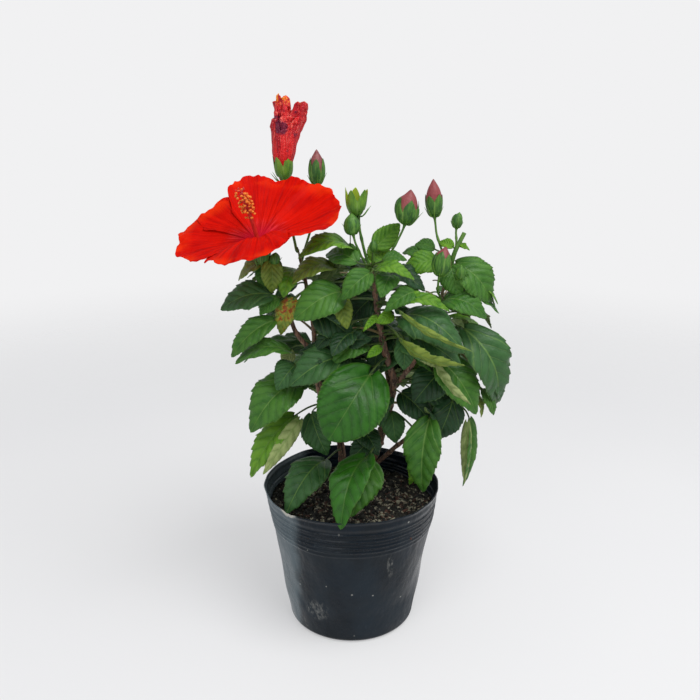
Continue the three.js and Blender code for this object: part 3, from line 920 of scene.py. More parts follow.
def addLeaf(pile, middle, direction, face, length, width, seed=0, arch=0.14, fold=14.0, wave=0.022,
            twist=0.0, curl=0.06, blunt=0.0, teeth=None, tone=0.5, columns=None, thickness=None, saw=1.0,
            quilt=None):
    # one closed toothed blade; returns where its stalk joins and which way the blade leaves it
    look = leafLook
    teeth = teeth or look["teeth"]
    columns = columns or look["columns"]
    along, proud = leafRows(teeth)
    direction = unit(direction)
    across = unit(np.cross(direction, face))
    up = np.cross(across, direction)
    base = middle - direction * length / 2
    share = np.linspace(-1, 1, 2 * columns + 1)
    v, u = np.meshgrid(along, share, indexing="ij")
    low, high = 0.54 - 0.1 * blunt, 0.9 - 0.34 * blunt
    widest = low / (low + high)
    half = (v + 0.002) ** low * np.maximum(1 - v, 0) ** high / (widest ** low * (1 - widest) ** high)
    half = half * width / 2 * (1 + 0.05 * np.sin(5 * v + seed)) + 0.35 * mm * (1 - v)
    uneven = 0.85 + 0.4 * np.sin(along * 37 + seed)[:, None] * np.where(u > 0, 1, -0.7)
    tooth = saw * look["toothDepth"] * length * proud[:, None] * uneven * np.abs(u) ** 5
    tooth = tooth * np.sin(np.pi * np.clip(v, 0.1, 0.96)) ** 0.4
    x = u * half + np.sign(u) * tooth
    forward = tooth * 0.9 - (0.05 + 0.11 * blunt) * length * (np.abs(u) ** 2) * (1 - v) ** 6
    lift = np.abs(x) * math.sin(math.radians(fold)) * (1 - 0.3 * np.abs(u))
    x = x * math.cos(math.radians(fold) * 0.8)
    rippled = (np.sin(2 * np.pi * (2.3 * v + 0.13 * seed) + np.where(u > 0, 0.0, 1.9))
               + 0.6 * np.sin(2 * np.pi * (4.1 * v - 0.21 * seed) + np.where(u > 0, 2.2, 0.3)))
    lift = lift + wave * length * rippled * np.abs(u) ** 2.2 * np.sin(np.pi * v) ** 0.7
    lift = lift - curl * width * np.abs(u) ** 3 * np.sin(np.pi * v) ** 0.5
    climb = v - look["veinSlant"] * np.abs(x) / length - 0.6 * (x / length) ** 2
    swell = np.sin(np.pi * climb * look["veinCount"]) ** 2
    swell = swell * (1 - np.abs(u) ** 4) * np.minimum(np.abs(u) * 4, 1)
    quilt = look["quilt"] if quilt is None else quilt
    lift = lift + quilt * length * (swell - 0.5) * np.sin(np.pi * np.clip(v, 0.03, 1)) ** 0.5
    turned = np.radians(twist) * (v - 0.3)
    x, lift = x * np.cos(turned) - lift * np.sin(turned), x * np.sin(turned) + lift * np.cos(turned)
    bow = 4 * arch * length * v ** 0.9 * (1 - v) ** 1.1 - 0.10 * length * arch / 0.14 * v ** 3
    points = (base + direction * (v * length + forward)[..., None] + across * x[..., None]
              + up * (lift + bow)[..., None])
    thick = (thickness or look["thickness"]) * mm * (1 - 0.75 * np.abs(u) ** 6)[..., None]
    addSheet(pile, points, thick, backOrder=(0, 3, 2, 1), backSlot=1,
             leafSpace=gather(u * half / length, v, u).reshape(-1, 3), leafTone=np.full(v.size, tone))
    foot = points[0, columns]
    return foot, unit(points[3, columns] - foot)


# stalks: every leaf stalk and twig is a path with its own thickness, skinned by one geometry tree

stalkLook = {"sides": 8, "step": 2.2, "leafStalk": (0.62, 0.85)}


def stalkMaterial(name, low, high, streak):
    material, tree = newMaterial(name, 0.5)
    mottled = mottle(tree, 0.004, stretch=(1, 1, 0.3))
    hairs = noiseAt(objectPlace(tree, (1, 1, 0.15)), 1500.0, 3.0)
    skin = mixColours(mottled, low, high)
    rough = remap(hairs, 0.3, 0.7, 0.42, 0.62)
    skin = tintWhere(skin, streak, hairs, 0.55, 0.75, 0.5)
    return dress(material, skin, rough, hairs, 0.0002, 0.7)


def stalkTree():
    tree, given, out = geometryTree("skinStalks", [("Sides", "Int", 8), ("Skin", "Material", None)])
    thick = namedMark(tree, "thick", "FLOAT")
    curve = addNode(tree, "GeometryNodeMeshToCurve", {"Mesh": given["Geometry"]})
    radius = addNode(tree, "GeometryNodeSetCurveRadius", {"Curve": curve.outputs["Curve"], "Radius": thick})
    ring = addNode(tree, "GeometryNodeCurvePrimitiveCircle", {"Resolution": given["Sides"], "Radius": 1.0})
    skin = addNode(tree, "GeometryNodeCurveToMesh", {
        "Curve": radius.outputs["Curve"], "Profile Curve": ring.outputs["Curve"], "Fill Caps": True})
    if "Scale" in skin.inputs:
        plug(skin.inputs["Scale"], thick)
    smooth = addNode(tree, "GeometryNodeSetShadeSmooth", {"Geometry": skin.outputs["Mesh"]})
    return finishTree(tree, out, smooth.outputs["Geometry"], given["Skin"])


def pathHost(name, paths):
    # paths as loose edges, each point with its thickness
    points, edges, thick = [], [], []
    for path, radii in paths:
        start = len(points)
        points += [tuple(p) for p in path]
        thick += list(radii)
        edges += [(start + k, start + k + 1) for k in range(len(path) - 1)]
    mesh = bpy.data.meshes.new(name)
    mesh.from_pydata(points, edges, [])
    layer = mesh.attributes.new("thick", "FLOAT", "POINT")
    layer.data.foreach_set("value", np.array(thick, np.float32))
    return newObject(name, mesh)


leafStalks, twigs, bladeMiddles = [], [], []


def joinLimb(limb, spot):
    path, wide = limbLines[limb]
    k = int(np.argmin(np.linalg.norm(path - spot, axis=1)))
    return path[k], wide[k]


def addStalk(foot, leaving, limb, length, start=None):
    # a bent stalk from the limb to the foot of a blade
    if start is None:
        start, _ = joinLimb(limb, foot - leaving * 0.4 * length - np.array([0, 0, 0.12 * length]))
    span = np.linalg.norm(foot - start)
    outward = unit(foot - start + np.array([0, 0, 0.45 * span]))
    t = np.linspace(0, 1, max(5, int(span / (stalkLook["step"] * mm))))[:, None]
    a, b = start + outward * span * 0.38, foot - leaving * span * 0.32
    end = foot + leaving * 1.2 * mm
    path = (1 - t) ** 3 * start + 3 * t * (1 - t) ** 2 * a + 3 * t ** 2 * (1 - t) * b + t ** 3 * end
    thin, fat = stalkLook["leafStalk"]
    share = t[:, 0]
    radii = fat + (thin - fat) * share + 0.3 * np.exp(-((share - 0.97) / 0.06) ** 2)
    radii = radii + 0.25 * np.exp(-share / 0.05)
    leafStalks.append((path, radii * mm * (0.8 + span / 0.09)))


def buildListedLeaves():
    # the leaves that give the crown its outline, sorted by tone into one piece each
    piles = {tone: Pile() for tone in list(leafLook["tones"]) + ["spotted"]}
    masses = {}
    rng = np.random.default_rng(41)
    for spray, (limb, leaves) in sprayHabit.items():
        centre = middleOf("spray_" + spray)
        for number, entry in enumerate(leaves):
            seed = int(rng.integers(1, 1000))
            middle = centre + np.array(entry["at"]) * mm
            bladeMiddles.append(middle)
            direction = heading(entry["bearing"], entry["pitch"])
            big = entry["length"] > 34
            foot, leaving = addLeaf(
                piles[entry["tone"]], middle, direction, facing(entry["turn"], entry["tilt"]),
                entry["length"] * mm, entry["width"] * mm, seed, tone=rng.uniform(0.2, 0.8),
                columns=7 if big else 5, **entry["shape"])
            if not entry["lying"]:
                addStalk(foot, leaving, limb, 0.55 * entry["length"] * mm)
            if number == 0:
                masses.setdefault(entry["tone"], []).append("spray_" + spray)
    under = undersideMaterial()
    tops = {}
    for tone, pile in piles.items():
        spotted = tone == "spotted"
        tops[tone] = leafMaterial("leafTop" + tone.title(), "olive" if spotted else tone, spotted)
        piece = pile.build("leaves_" + tone, [tops[tone], under])
        keepPiece(piece, "leaf", *masses.get(tone, ()))
    return tops, under


# openings in the crown where the sky shows, as places and radii on the upright plane through the pot's middle
skyGaps = [(-35, 268, 9), (-22, 262, 7), (-42, 188, 13), (-48, 205, 9), (-58, 262, 8), (-18, 225, 6),
           (-30, 168, 12), (48, 160, 10), (60, 152, 9), (62, 268, 9), (52, 276, 7), (44, 190, 6),
           (-14, 282, 6), (88, 148, 14), (108, 170, 12), (-72, 168, 16), (100, 240, 8), (-90, 263, 8),
           (138, 224, 11), (-82, 230, 8), (43, 212, 7), (-66, 236, 8), (85, 160, 9), (141, 203, 9),
           (62, 175, 4), (-78, 279, 5), (105, 248, 5)]


def coversGap(foot, end, eye):
    # seen from where the plant is looked at, does a blade from foot to end stand before an opening
    line = foot + (end - foot) * np.linspace(0, 1, 7)[:, None]
    side = unit(np.cross(end - foot, [0, 0, 1])) * np.linalg.norm(end - foot) * 0.25
    points = np.vstack([line, line + side, line - side])
    reach = -eye[1] / (points[:, 1] - eye[1])
    seen = eye + (points - eye) * reach[:, None]
    for x, z, radius in skyGaps:
        if np.any(np.hypot(seen[:, 0] - x * mm, seen[:, 2] - z * mm) < 0.8 * radius * mm):
            return True
    return False


def leafLibrary(top, under, tone):
    # a few blades a metre long to be set out at their real size
    shelf = newShelf("bladeShapes" + tone)
    for k in range(5):
        pile = Pile()
        addLeaf(pile, np.array([0, 0.5, 0]), [0, 1, 0], [0, 0, 1], 1.0, 0.62 + 0.03 * k, 11 + k,
                arch=0.12 + 0.02 * k, fold=8 + 5 * k, wave=0.02 + 0.004 * k, columns=4, teeth=9,
                thickness=7.5)
        piece = pile.build("bladeShape" + tone + str(k), [top, under])
        putAway(shelf, piece)
        piece.data.attributes.remove(piece.data.attributes["leafTone"])
        markSecondSlot(piece, "underside")
    return shelf


def scatterTree():
    tree, given, out = geometryTree(
        "setOutLeaves", [("Blades", "Collection", None), ("Size", "Float", 1.0), ("Seed", "Int", 3),
                         ("Top", "Material", None), ("Underside", "Material", None)])
    shapes, pick = dealtShapes(tree, given["Blades"], True)
    plug(pick.inputs["Seed"], given["Seed"])
    turn = addNode(tree, "FunctionNodeEulerToRotation", {0: namedMark(tree, "turn", "FLOAT_VECTOR")})
    size = times(namedMark(tree, "reach", "FLOAT"), given["Size"])
    setOut = addNode(tree, "GeometryNodeInstanceOnPoints", {
        "Points": given["Geometry"], "Instance": shapes, "Pick Instance": True,
        "Instance Index": pick.outputs[2], "Rotation": turn.outputs[0], "Scale": size})
    return finishTree(tree, out, setOut.outputs["Instances"], given["Top"], "underside", given["Underside"])


# leaves that stand along the limbs themselves: where on the limb, how many, how far they may reach forward
limbHabit = {
    "trunk": (0.42, 1.0, 15, -14), "left_stem": (0.5, 1.0, 9, 0), "left_bough": (0.25, 1.0, 8, 6),
    "inner_bough": (0.2, 0.8, 9, 0), "right_bough": (0.2, 1.0, 12, -6), "back_bough": (0.2, 1.0, 13, 0),
    "back_left_bough": (0.25, 1.0, 11, 0), "back_right_bough": (0.2, 1.0, 11, 0),
    "low_bough": (0.5, 1.0, 3, 10),
}


def leafTurn(direction, face):
    across = unit(np.cross(direction, face))
    up = np.cross(across, direction)
    return tuple(Matrix(np.stack([across, direction, up], 1).tolist()).to_euler())


def leavesOnLimbs(spots, taken, eye):
    rng = np.random.default_rng(23)
    lowest, highest = np.array(cadBox[0]) + 6 * mm, np.array(cadBox[1]) - 8 * mm
    highest[2] = 0.312
    for limb, (start, stop, count, nearest) in limbHabit.items():
        path = limbLines[limb][0]
        placed = 0
        for attempt in range(count * 24):
            if placed == count:
                break
            at = path[int(rng.uniform(start, stop) * (len(path) - 1))]
            azimuth = math.radians(placed * 137.5 + rng.uniform(-25, 25))
            direction = unit(np.array([math.cos(azimuth), math.sin(azimuth), rng.uniform(-0.75, 0.05)]))
            length = rng.uniform(32, 56) * mm * (1 - 0.35 * attempt / (count * 24))
            foot = at + unit(direction + np.array([0, 0, 0.55])) * rng.uniform(10, 22) * mm
            end = foot + direction * length
            middle = (foot + end) / 2
            if np.any(end < lowest) or np.any(end > highest) or middle[1] < nearest * mm or middle[2] < 0.150:
                continue
            if taken and np.min(np.linalg.norm(np.array(taken) - middle, axis=1)) < 15 * mm:
                continue
            if coversGap(foot, end, eye):
                continue
            face = unit(np.array([0, 0, 1.0]) + 0.55 * direction * [1, 1, 0] + rng.normal(0, 0.22, 3))
            inside = np.hypot(middle[0] - 0.01, middle[1] - 0.02) < 45 * mm
            tone = ("shade", "dark", "shade")[placed % 3] if inside else ("mid", "dark", "bright")[placed % 3]
            turn = leafTurn(direction, face)
            spots.setdefault(tone, []).append((foot, turn, length, rng.uniform(0.1, 0.9)))
            addStalk(foot, direction, limb, length, start=at)
            taken.append(middle)
            placed += 1


def growTwig(root, tip, bend):
    middle = (root + tip) / 2 + bend
    t = np.linspace(0, 1, 14)[:, None]
    return (1 - t) ** 2 * root + 2 * t * (1 - t) * middle + t ** 2 * tip


def buildFilledSprays(tops, under, eye):
    # twigs grow on from each limb through its mass and carry leaves by a fixed turn, outwards and drooping
    rng = np.random.default_rng(17)
    spots, masses, taken = {}, {}, list(bladeMiddles)
    for spray, (limb, count, tones) in fillHabit.items():
        node = "spray_" + spray
        low, high = boxOf(node)
        cloud = nodePoints(node)
        centre = (low + high) / 2
        start, _ = joinLimb(limb, centre - np.array([0, 0, 0.02]))
        root = cloud[np.argmin(np.linalg.norm(cloud - start, axis=1))]
        tip = cloud[np.argmax(np.linalg.norm(cloud - root, axis=1))]
        start, _ = joinLimb(limb, root)
        reachEnd = root + (tip - root) * 0.72
        main = growTwig(start, reachEnd, np.array([0, 0, 0.16 * np.linalg.norm(tip - root)]))
        paths = [main]
        for side in (-1, 1):
            along = main[6 + side]
            away = unit(np.cross(tip - root, [0, 0, 1])) * side * 0.34 * np.linalg.norm((high - low)[:2])
            paths.append(growTwig(along, along + away + (tip - root) * 0.25, np.array([0, 0, 0.006])))
        for k, path in enumerate(paths):
            if count > 3 or k == 0:
                twigs.append((path, np.linspace(1.25 if k == 0 else 0.85, 0.5, len(path)) * mm))
        placed = 0
        for attempt in range(count * 40):
            if placed == count:
                break
            path = paths[placed % 3] if count > 3 else paths[0]
            at = path[int(rng.uniform(0.3, 1.0) * (len(path) - 1))]
            around = placed * 2.4 + rng.uniform(-0.5, 0.5)
            out = unit(at - np.array([0.01, 0.02, at[2]]))
            level = unit(np.cross(out, [0, 0, 1]))
            direction = unit(out * (0.75 + 0.3 * math.cos(around)) + level * math.sin(around) * 0.9
                             + np.array([0, 0, rng.uniform(-0.75, 0.1)]))
            length = rng.uniform(34, 58) * mm * (0.8 if count <= 3 else 1.0)
            length = length * (1 - 0.4 * attempt / (count * 40))
            foot = at + direction * rng.uniform(8, 16) * mm + np.array([0, 0, 2 * mm])
            end = foot + direction * length
            margin = 9 * mm
            if np.any(end < low - margin) or np.any(end > high + margin):
                continue
            if coversGap(foot, end, eye):
                continue
            face = unit(np.array([0, 0, 1.0]) + 0.75 * out + rng.normal(0, 0.25, 3))
            if taken and np.min(np.linalg.norm(np.array(taken) - (foot + end) / 2, axis=1)) < 11 * mm:
                continue
            tone = tones[placed % 3]
            turn = leafTurn(direction, face)
            spots.setdefault(tone, []).append((foot, turn, length, rng.uniform(0.15, 0.85)))
            taken.append((foot + end) / 2)
            addStalk(foot, direction, limb, length, start=at)
            if placed == 0:
                masses.setdefault(tone, []).append(node)
            placed += 1
        if placed == 0:
            masses.setdefault("dark", []).append(node)
            print("no leaf found room in", spray)
    leavesOnLimbs(spots, taken, eye)
    tree = scatterTree()
    for tone, entries in spots.items():
        mesh = bpy.data.meshes.new("spots")
        mesh.from_pydata([tuple(e[0]) for e in entries], [], [])
        for item, label in enumerate(("turn", "reach", "leafTone"), 1):
            values = np.array([entry[item] for entry in entries], np.float32)
            kind, key = ("FLOAT_VECTOR", "vector") if values.ndim == 2 else ("FLOAT", "value")
            mesh.attributes.new(label, kind, "POINT").data.foreach_set(key, values.ravel())
        shelf = leafLibrary(tops[tone], under, tone)
        piece = grow(newObject("spots", mesh), tree, {
            "Blades": shelf, "Size": 1.0, "Seed": 5, "Top": tops[tone], "Underside": under},
            "filled_leaves_" + tone)
        keepPiece(piece, "leaf", *masses.get(tone, ()))
        print("filled leaves", tone, len(entries), len(piece.data.polygons))


cameraLook = {"back": 632, "height": 441, "dip": 17.3, "lens": 41.14, "shift": -0.0021}
eye = np.array([0, -cameraLook["back"], cameraLook["height"]]) * mm
tops, under = buildListedLeaves()
buildFilledSprays(tops, under, eye)
print("leaves set out")


# buds, calyxes and their stalks

headLook = {
    # head length and radius in mm, how far up the sepals reach, how deep they are cut, how they are turned
    "buds": {
        "bud_pointed": dict(long=31, wide=6.6, cover=0.76, cut=0.32, turn=0.0, pale=0.75, limb="inner_bough"),
        "bud_green": dict(long=17, wide=6.0, cover=0.98, cut=0.16, turn=0.3, pale=2.0, limb="trunk"),
        "bud_leaning": dict(long=28, wide=9.1, cover=0.74, cut=0.46, turn=-1.45, pale=0.2, aside=-1.8,
                            limb="trunk"),
        "bud_tall": dict(long=31, wide=6.5, cover=0.60, cut=0.34, turn=0.63, pale=0.0, limb="right_bough"),
        "bud_shoot": dict(long=13, wide=4.2, cover=0.94, cut=0.3, turn=0.6, pale=2.0, limb="right_bough"),
        "bud_right": dict(long=24, wide=7.1, cover=0.82, cut=0.26, turn=0.5, pale=0.35, limb="right_bough"),
    },
    "sepal": (rgb(38, 82, 26), rgb(80, 124, 42)), "rib": rgb(124, 154, 74),
    "blush": (rgb(112, 38, 46), rgb(150, 78, 76)), "blushPale": (rgb(104, 52, 56), rgb(138, 88, 84)),
    "cup": (rgb(58, 104, 14), rgb(98, 140, 26)), "cupInside": rgb(138, 158, 20),
    # empty calyxes: length and radius, flare, how deep they are cut and turned, how far they lean, limb
    "calyxes": (("spent_calyx", 22, 8.4, 1.06, 0.50, 0.45, -5.0, "trunk"),
                ("wilted_calyx", 22, 8.2, 1.0, 0.42, 1.89, 3.2, "inner_bough")),
    # small side buds: mass, place from its middle, the way they point, length and radius
    "sideBuds": (("right_crown", (-11, -13, 12), (0.05, -0.2, 1), 12, 3.6, "right_bough"),
                 ("top", (-9, -7, -5), (-0.1, -0.1, 1), 10, 2.9, "trunk"),
                 ("under_bloom", (12, -8, 12), (0.2, -0.3, 1), 11, 3.8, "left_bough")),
    "stalk": (rgb(56, 100, 30), rgb(92, 134, 46)), "stalkStreak": rgb(120, 92, 60),
    "leafStalk": (rgb(44, 76, 28), rgb(84, 106, 46)),
    "twig": (rgb(96, 84, 52), rgb(124, 108, 70), rgb(74, 54, 40)),
}


def budMaterial():
    # the rolled petals inside the sepals
    look = headLook
    material, tree = newMaterial("budSkin", 0.5, specularIorLevel=0.3)
    share, _, pale = splitVector(markOf(tree, "budSpace"))
    streaks = noiseAt(objectPlace(tree, (1, 1, 0.12)), 900.0, 3.0)
    mottled = mottle(tree, 0.003)
    pink = mixColours(streaks, *look["blush"])
    faded = mixColours(mottled, *look["blushPale"])
    pink = mixColours(pale, pink, faded)
    pink = tintWhere(pink, look["blushPale"][0], share, 0.9, 1.0, 0.6)
    skin = mixColours(remap(share, 0.55, 0.3), pink, look["sepal"][1])
    skin = tintWhere(skin, look["sepal"][1], pale, 1.0, 2.0)
    rough = remap(streaks, 0.3, 0.7, 0.4, 0.58)
    return dress(material, skin, rough, streaks, 0.0003, 0.8)


def sepalMaterial():
    look = headLook
    material, tree = newMaterial("sepalSkin", 0.5, specularIorLevel=0.35)
    angle = splitVector(markOf(tree, "budSpace"))[1]
    mottled = mottle(tree, 0.0035, 0.7, (1, 1, 0.35))
    streaks = noiseAt(objectPlace(tree, (1, 1, 0.12)), 900.0, 3.0)
    green = mixColours(mottled, *look["sepal"])
    ribs = calc("PINGPONG", times(angle, 5 / math.pi), 1.0)
    green = tintWhere(green, look["rib"], ribs, 0.78, 1.0, 0.5)
    green = tintWhere(green, look["sepal"][0], ribs, 0.16, 0.0, 0.6)
    green = tintWhere(green, look["sepal"][0], streaks, 0.56, 0.72, 0.35)
    rough = remap(streaks, 0.3, 0.7, 0.42, 0.6)
    return dress(material, green, rough, streaks, 0.0003, 0.8)


def cupMaterial():
    look = headLook
    material, tree = newMaterial("calyxSkin", 0.5)
    share, angle, inside = splitVector(markOf(tree, "budSpace"))
    mottled = mottle(tree, 0.004, stretch=(1, 1, 0.4))
    streaks = noiseAt(objectPlace(tree, (1, 1, 0.12)), 1000.0, 3.0)
    skin = mixColours(mottled, *look["cup"])
    skin = mixColours(remap(share, 0.0, 0.5, 0.7, 0.0), skin, look["sepal"][1])
    skin = mixColours(inside, skin, look["cupInside"])
    ribs = calc("PINGPONG", times(angle, 5 / math.pi), 1.0)
    skin = tintWhere(skin, look["rib"], ribs, 0.8, 1.0, 0.5)
    skin = tintWhere(skin, look["sepal"][0], streaks, 0.55, 0.75, 0.4)
    rough = remap(streaks, 0.3, 0.7, 0.42, 0.6)
    return dress(material, skin, rough, streaks, 0.0003, 0.8)


def localFrame(axis, turn=0.0):
    axis = unit(axis)
    side = unit(np.cross(axis, [0.2, 1.0, 0.1]))
    over = np.cross(axis, side)
    return side * math.cos(turn) + over * math.sin(turn), over * math.cos(turn) - side * math.sin(turn), axis


def budShape(t):
    # the swell of a bud from its foot to its point
    shape = (t + 0.004) ** 0.5 * (1 - t + 0.002) ** 0.75
    return shape / 0.4312 * (1 - 0.25 * ease(0.7, 1.0, t))


def alongPath(path, share):
    # points and side vectors of a path at any shares of its length
    spaced = smoothPath(path, 0.4 * mm)
    _, sides, overs = carriedFrames(spaced)
    marks = np.linspace(0, 1, len(spaced))
    return [np.stack([np.interp(share, marks, rows[:, k]) for k in range(3)], -1)
            for rows in (spaced, sides, overs)]


def addBudHead(pile, path, wide, pale, seed):
    # the pointed roll of petals round its own bent axis
    sides, t = 50, np.linspace(0, 1, 40)

    def relief(share, angle, points):
        twist = np.sin(2 * angle + 5.0 * share)
        return 1 + 0.035 * twist * np.sin(np.pi * share) + 0.02 * grain(points, 1.6 * mm, seed)

    axis = alongPath(path, t)[0]
    start = pile.count
    addTube(pile, axis, budShape(t) * wide * mm, sides, 0, relief, budSpace=np.zeros(3))
    angle = np.tile(ringAngles(sides), len(t))
    space = np.zeros((pile.count - start, 3))
    space[:len(angle), 0] = np.repeat(t, sides)
    space[:len(angle), 1] = angle
    space[-1, 0] = 1
    space[:, 2] = pale
    pile.marks["budSpace"][-1] = (start, space)


def addBracts(pile, foot, axis, radius, length, count=7, seed=0):
    # narrow outer bracts curving up round the foot of a head
    rng = np.random.default_rng(seed)
    for k in range(count):
        side, _, up = localFrame(axis, k / count * 2 * math.pi + rng.uniform(-0.2, 0.2))
        long = length * rng.uniform(0.8, 1.15)
        t = np.linspace(0, 1, 12)[:, None]
        path = foot + side * radius * (0.35 + 1.3 * np.sqrt(t)) + up * long * t ** 1.3
        path = path + side * long * 0.14 * t ** 3
        addTube(pile, path, np.interp(t[:, 0], [0, 0.3, 1], [0.5, 0.55, 0.12]) * mm, 6, 0, None,
                budSpace=np.array([0.2, 0.3, 0.0]))


def addCup(pile, path, cover, profile, depth=0.5, seed=0, turn=0.0, wall=0.45, spread=0.0):
    # five pointed lobes with their own thickness, closed round a path; profile gives the radius along it
    sides, rows = 90, 28
    angle = ringAngles(sides)
    t = np.linspace(0, 1, rows)[:, None]
    inLobe = np.abs(((angle + turn) / (2 * math.pi / 5)) % 1 - 0.5) * 2
    top = cover * (1 - depth * (0.6 * inLobe + 0.4 * inLobe ** 3) + 0.03 * np.sin(2 * angle + seed))
    level = t * top[None, :]
    ribs = 1 + 0.05 * (1 - inLobe[None, :]) ** 3 - 0.045 * inLobe[None, :] ** 6
    uneven = 1 + 0.025 * np.sin(angle * 2 + seed)[None, :] * t + 0.02 * np.sin(angle * 10 + seed)[None, :] * t
    wide = profile(level) * ribs * uneven + spread * mm * (t ** 5) * (0.4 + (1 - inLobe)[None, :])
    centre, side, over = alongPath(path, level)
    outward = np.cos(angle)[None, :, None] * side + np.sin(angle)[None, :, None] * over
    thick = wall * mm * (1 - 0.7 * t ** 3)
    shells = [centre + (wide - inner * thick)[..., None] * outward for inner in (0, 1)]
    space = gather(level / cover, angle + turn + math.pi / 5, 0).reshape(-1, 3)
    quads = gridQuads(rows, sides, True)
    start = pile.count
    foot = alongPath(path, np.array([0.0, 0.02]))[0]
    pile.add(np.vstack([shells[0].reshape(-1, 3), shells[1].reshape(-1, 3), foot]), quads, 0,
             budSpace=np.vstack([space, space + [0, 0, 1], [[0, 0, 0], [0, 0, 1]]]))
    layer = rows * sides
    pile.addFaces(quads[:, ::-1] + layer, start)
    ring = layer - sides + np.arange(sides)
    after = np.roll(ring, -1)
    pile.addFaces(np.stack([ring, after, after + layer, ring + layer], 1), start)
    pile.addFaces(fanFaces(sides, 0, 2 * layer), start)
    pile.addFaces(fanFaces(sides, layer, 2 * layer + 1, True), start)


def bellied(radius, flare):
    # the radius of an open cup by share of its height
    return lambda level: radius * mm * (1 - np.exp(-(level + 0.01) / 0.16)) * (1 + (flare - 1) * level ** 2)


def splitHead(node, long):
    # the CAD head's centre line, cut where the swollen part starts
    line, _ = centreLine(node, 60)
    k = int(np.searchsorted(line[:, 2], line[-1, 2] - long * 0.98 * mm))
    return line[:k + 1], line[k:]


def buildHeads():
    look = headLook
    buds, sepals, cups, bracts = Pile(), Pile(), Pile(), Pile()
    stalks = []

    def stalkUp(line, limb, thin=0.8, fat=1.1):
        start, _ = joinLimb(limb, line[0])
        path = smoothPath(np.vstack([start, line[::6], line[-1:]]), 2 * mm)
        share = np.linspace(0, 1, len(path))
        knuckle = 0.35 * np.exp(-((share - 0.62) / 0.04) ** 2)
        radii = fat + (thin - fat) * share + knuckle + 0.9 * np.exp(-(1 - share) / 0.035)
        stalks.append((path, radii * mm))

    for seed, (node, size) in enumerate(look["buds"].items()):
        lower, upper = splitHead(node, size["long"])
        head = np.vstack([upper[:-2:4], upper[-1:]]) if len(upper) > 12 else upper[::2]
        share = np.linspace(0, 1, len(head))[:, None]
        head = head + np.array([size.get("aside", 0), 0, 0]) * mm * share ** 0.5
        wide = size["wide"]
        addBudHead(buds, head, wide, size["pale"], seed)
        addCup(sepals, head, size["cover"], lambda level: budShape(level) * wide * 1.03 * mm + 0.15 * mm,
               size["cut"], seed, size["turn"], 0.4, 0.25)
        axis = upper[min(8, len(upper) - 1)] - upper[0]
        addBracts(bracts, upper[0], axis, wide * 0.66 * mm, wide * 1.35 * mm, 7, seed)
        stalkUp(lower, size["limb"])
    for node, long, radius, flare, depth, turn, aside, limb in look["calyxes"]:
        lower, upper = splitHead(node, long)
        axis = unit(upper[-1] - upper[0])
        ends = np.array([upper[0], upper[0] + axis * long * mm])
        lean = np.array([aside, 0, 0]) * mm * np.linspace(0, 1, 8)[:, None] ** 0.5
        path = np.linspace(ends[0], ends[1], 8) + lean
        addCup(cups, path, 1.0, bellied(radius, flare), depth, 2, turn)
        addBracts(bracts, upper[0], axis, 5.0 * mm, 10 * mm, 7, 31)
        if node == "spent_calyx":
            addBudHead(cups, path[[0, 2, 4]], 5.4, 0.0, 9)
        stalkUp(lower, limb, 1.05, 1.3)
    line, _ = centreLine("bloom_stalk", 40)
    axis = unit(line[-1] - line[-12])
    foot = line[-1] - axis * 21 * mm
    addCup(sepals, np.linspace(foot, foot + axis * 20 * mm, 8), 1.0, bellied(5.8, 1.1), 0.5, 3, 0.9)
    addBracts(bracts, foot, axis, 4.8 * mm, 13 * mm, 7, 43)
    below = line[np.linalg.norm(line - line[-1], axis=1) > 20 * mm]
    stalkUp(np.vstack([below, foot]), "left_bough", 1.25, 1.5)

    for seed, (mass, place, way, long, wide, limb) in enumerate(look["sideBuds"]):
        head = middleOf("spray_" + mass) + np.array(place) * mm
        path = head + unit(np.array(way, float)) * np.linspace(0, 1, 5)[:, None] * long * mm
        addBudHead(buds, path, wide, 2.0, seed + 20)
        addCup(sepals, path, 0.97, lambda level: budShape(level) * wide * 1.06 * mm + 0.2 * mm,
               0.24, seed, 0.5, 0.35)
        addBracts(bracts, head, way, wide * 0.7 * mm, wide * 1.7 * mm, 7, seed + 50)
        start, _ = joinLimb(limb, head)
        route = smoothPath(np.array([start, (start * 0.45 + head * 0.55) - [0, 0, 3 * mm], head]), 2 * mm)
        stalks.append((route, np.linspace(1.0, 0.75, len(route)) * mm))
    # the cut shoot beside the small bud
    low, high = boxOf("bud_shoot")
    stub = np.array([low, low, [high[0], low[1], low[2]]])
    stub = stub + np.array([[-1.5, 0, -16], [2, -3, 1], [1.4, -4, 17]]) * mm
    stub = smoothPath(stub, 2 * mm)
    stalks.append((stub, np.linspace(2.0, 1.75, len(stub)) * mm))

    keepPiece(buds.build("buds", [budMaterial()]), "green_stalk", *look["buds"])
    keepPiece(sepals.build("sepals", [sepalMaterial()]), "green_stalk")
    cupPiece = cups.build("calyxes", [cupMaterial()])
    keepPiece(cupPiece, "green_stalk", "spent_calyx", "wilted_calyx", "bloom_stalk")
    keepPiece(bracts.build("outer_bracts", [cupPiece.data.materials[0]]), "green_stalk")
    tree = stalkTree()
    green = stalkMaterial("greenStalk", *look["stalk"], look["stalkStreak"])
    dull = stalkMaterial("leafStalk", *look["leafStalk"], look["stalkStreak"])
    brown = stalkMaterial("twigSkin", *look["twig"])
    for name, paths, skin, slot in (("flower_stalks", stalks, green, "green_stalk"),
                                    ("leaf_stalks", leafStalks, dull, "green_stalk"),
                                    ("twigs", twigs, brown, "bark")):
        piece = grow(pathHost(name, paths), tree, {"Sides": stalkLook["sides"], "Skin": skin}, name)
        keepPiece(piece, slot)
        print(name, len(paths), len(piece.data.polygons))


buildHeads()
print("buds, calyxes and stalks made")


# the open bloom: five overlapping ruffled petals and the column with its stamens

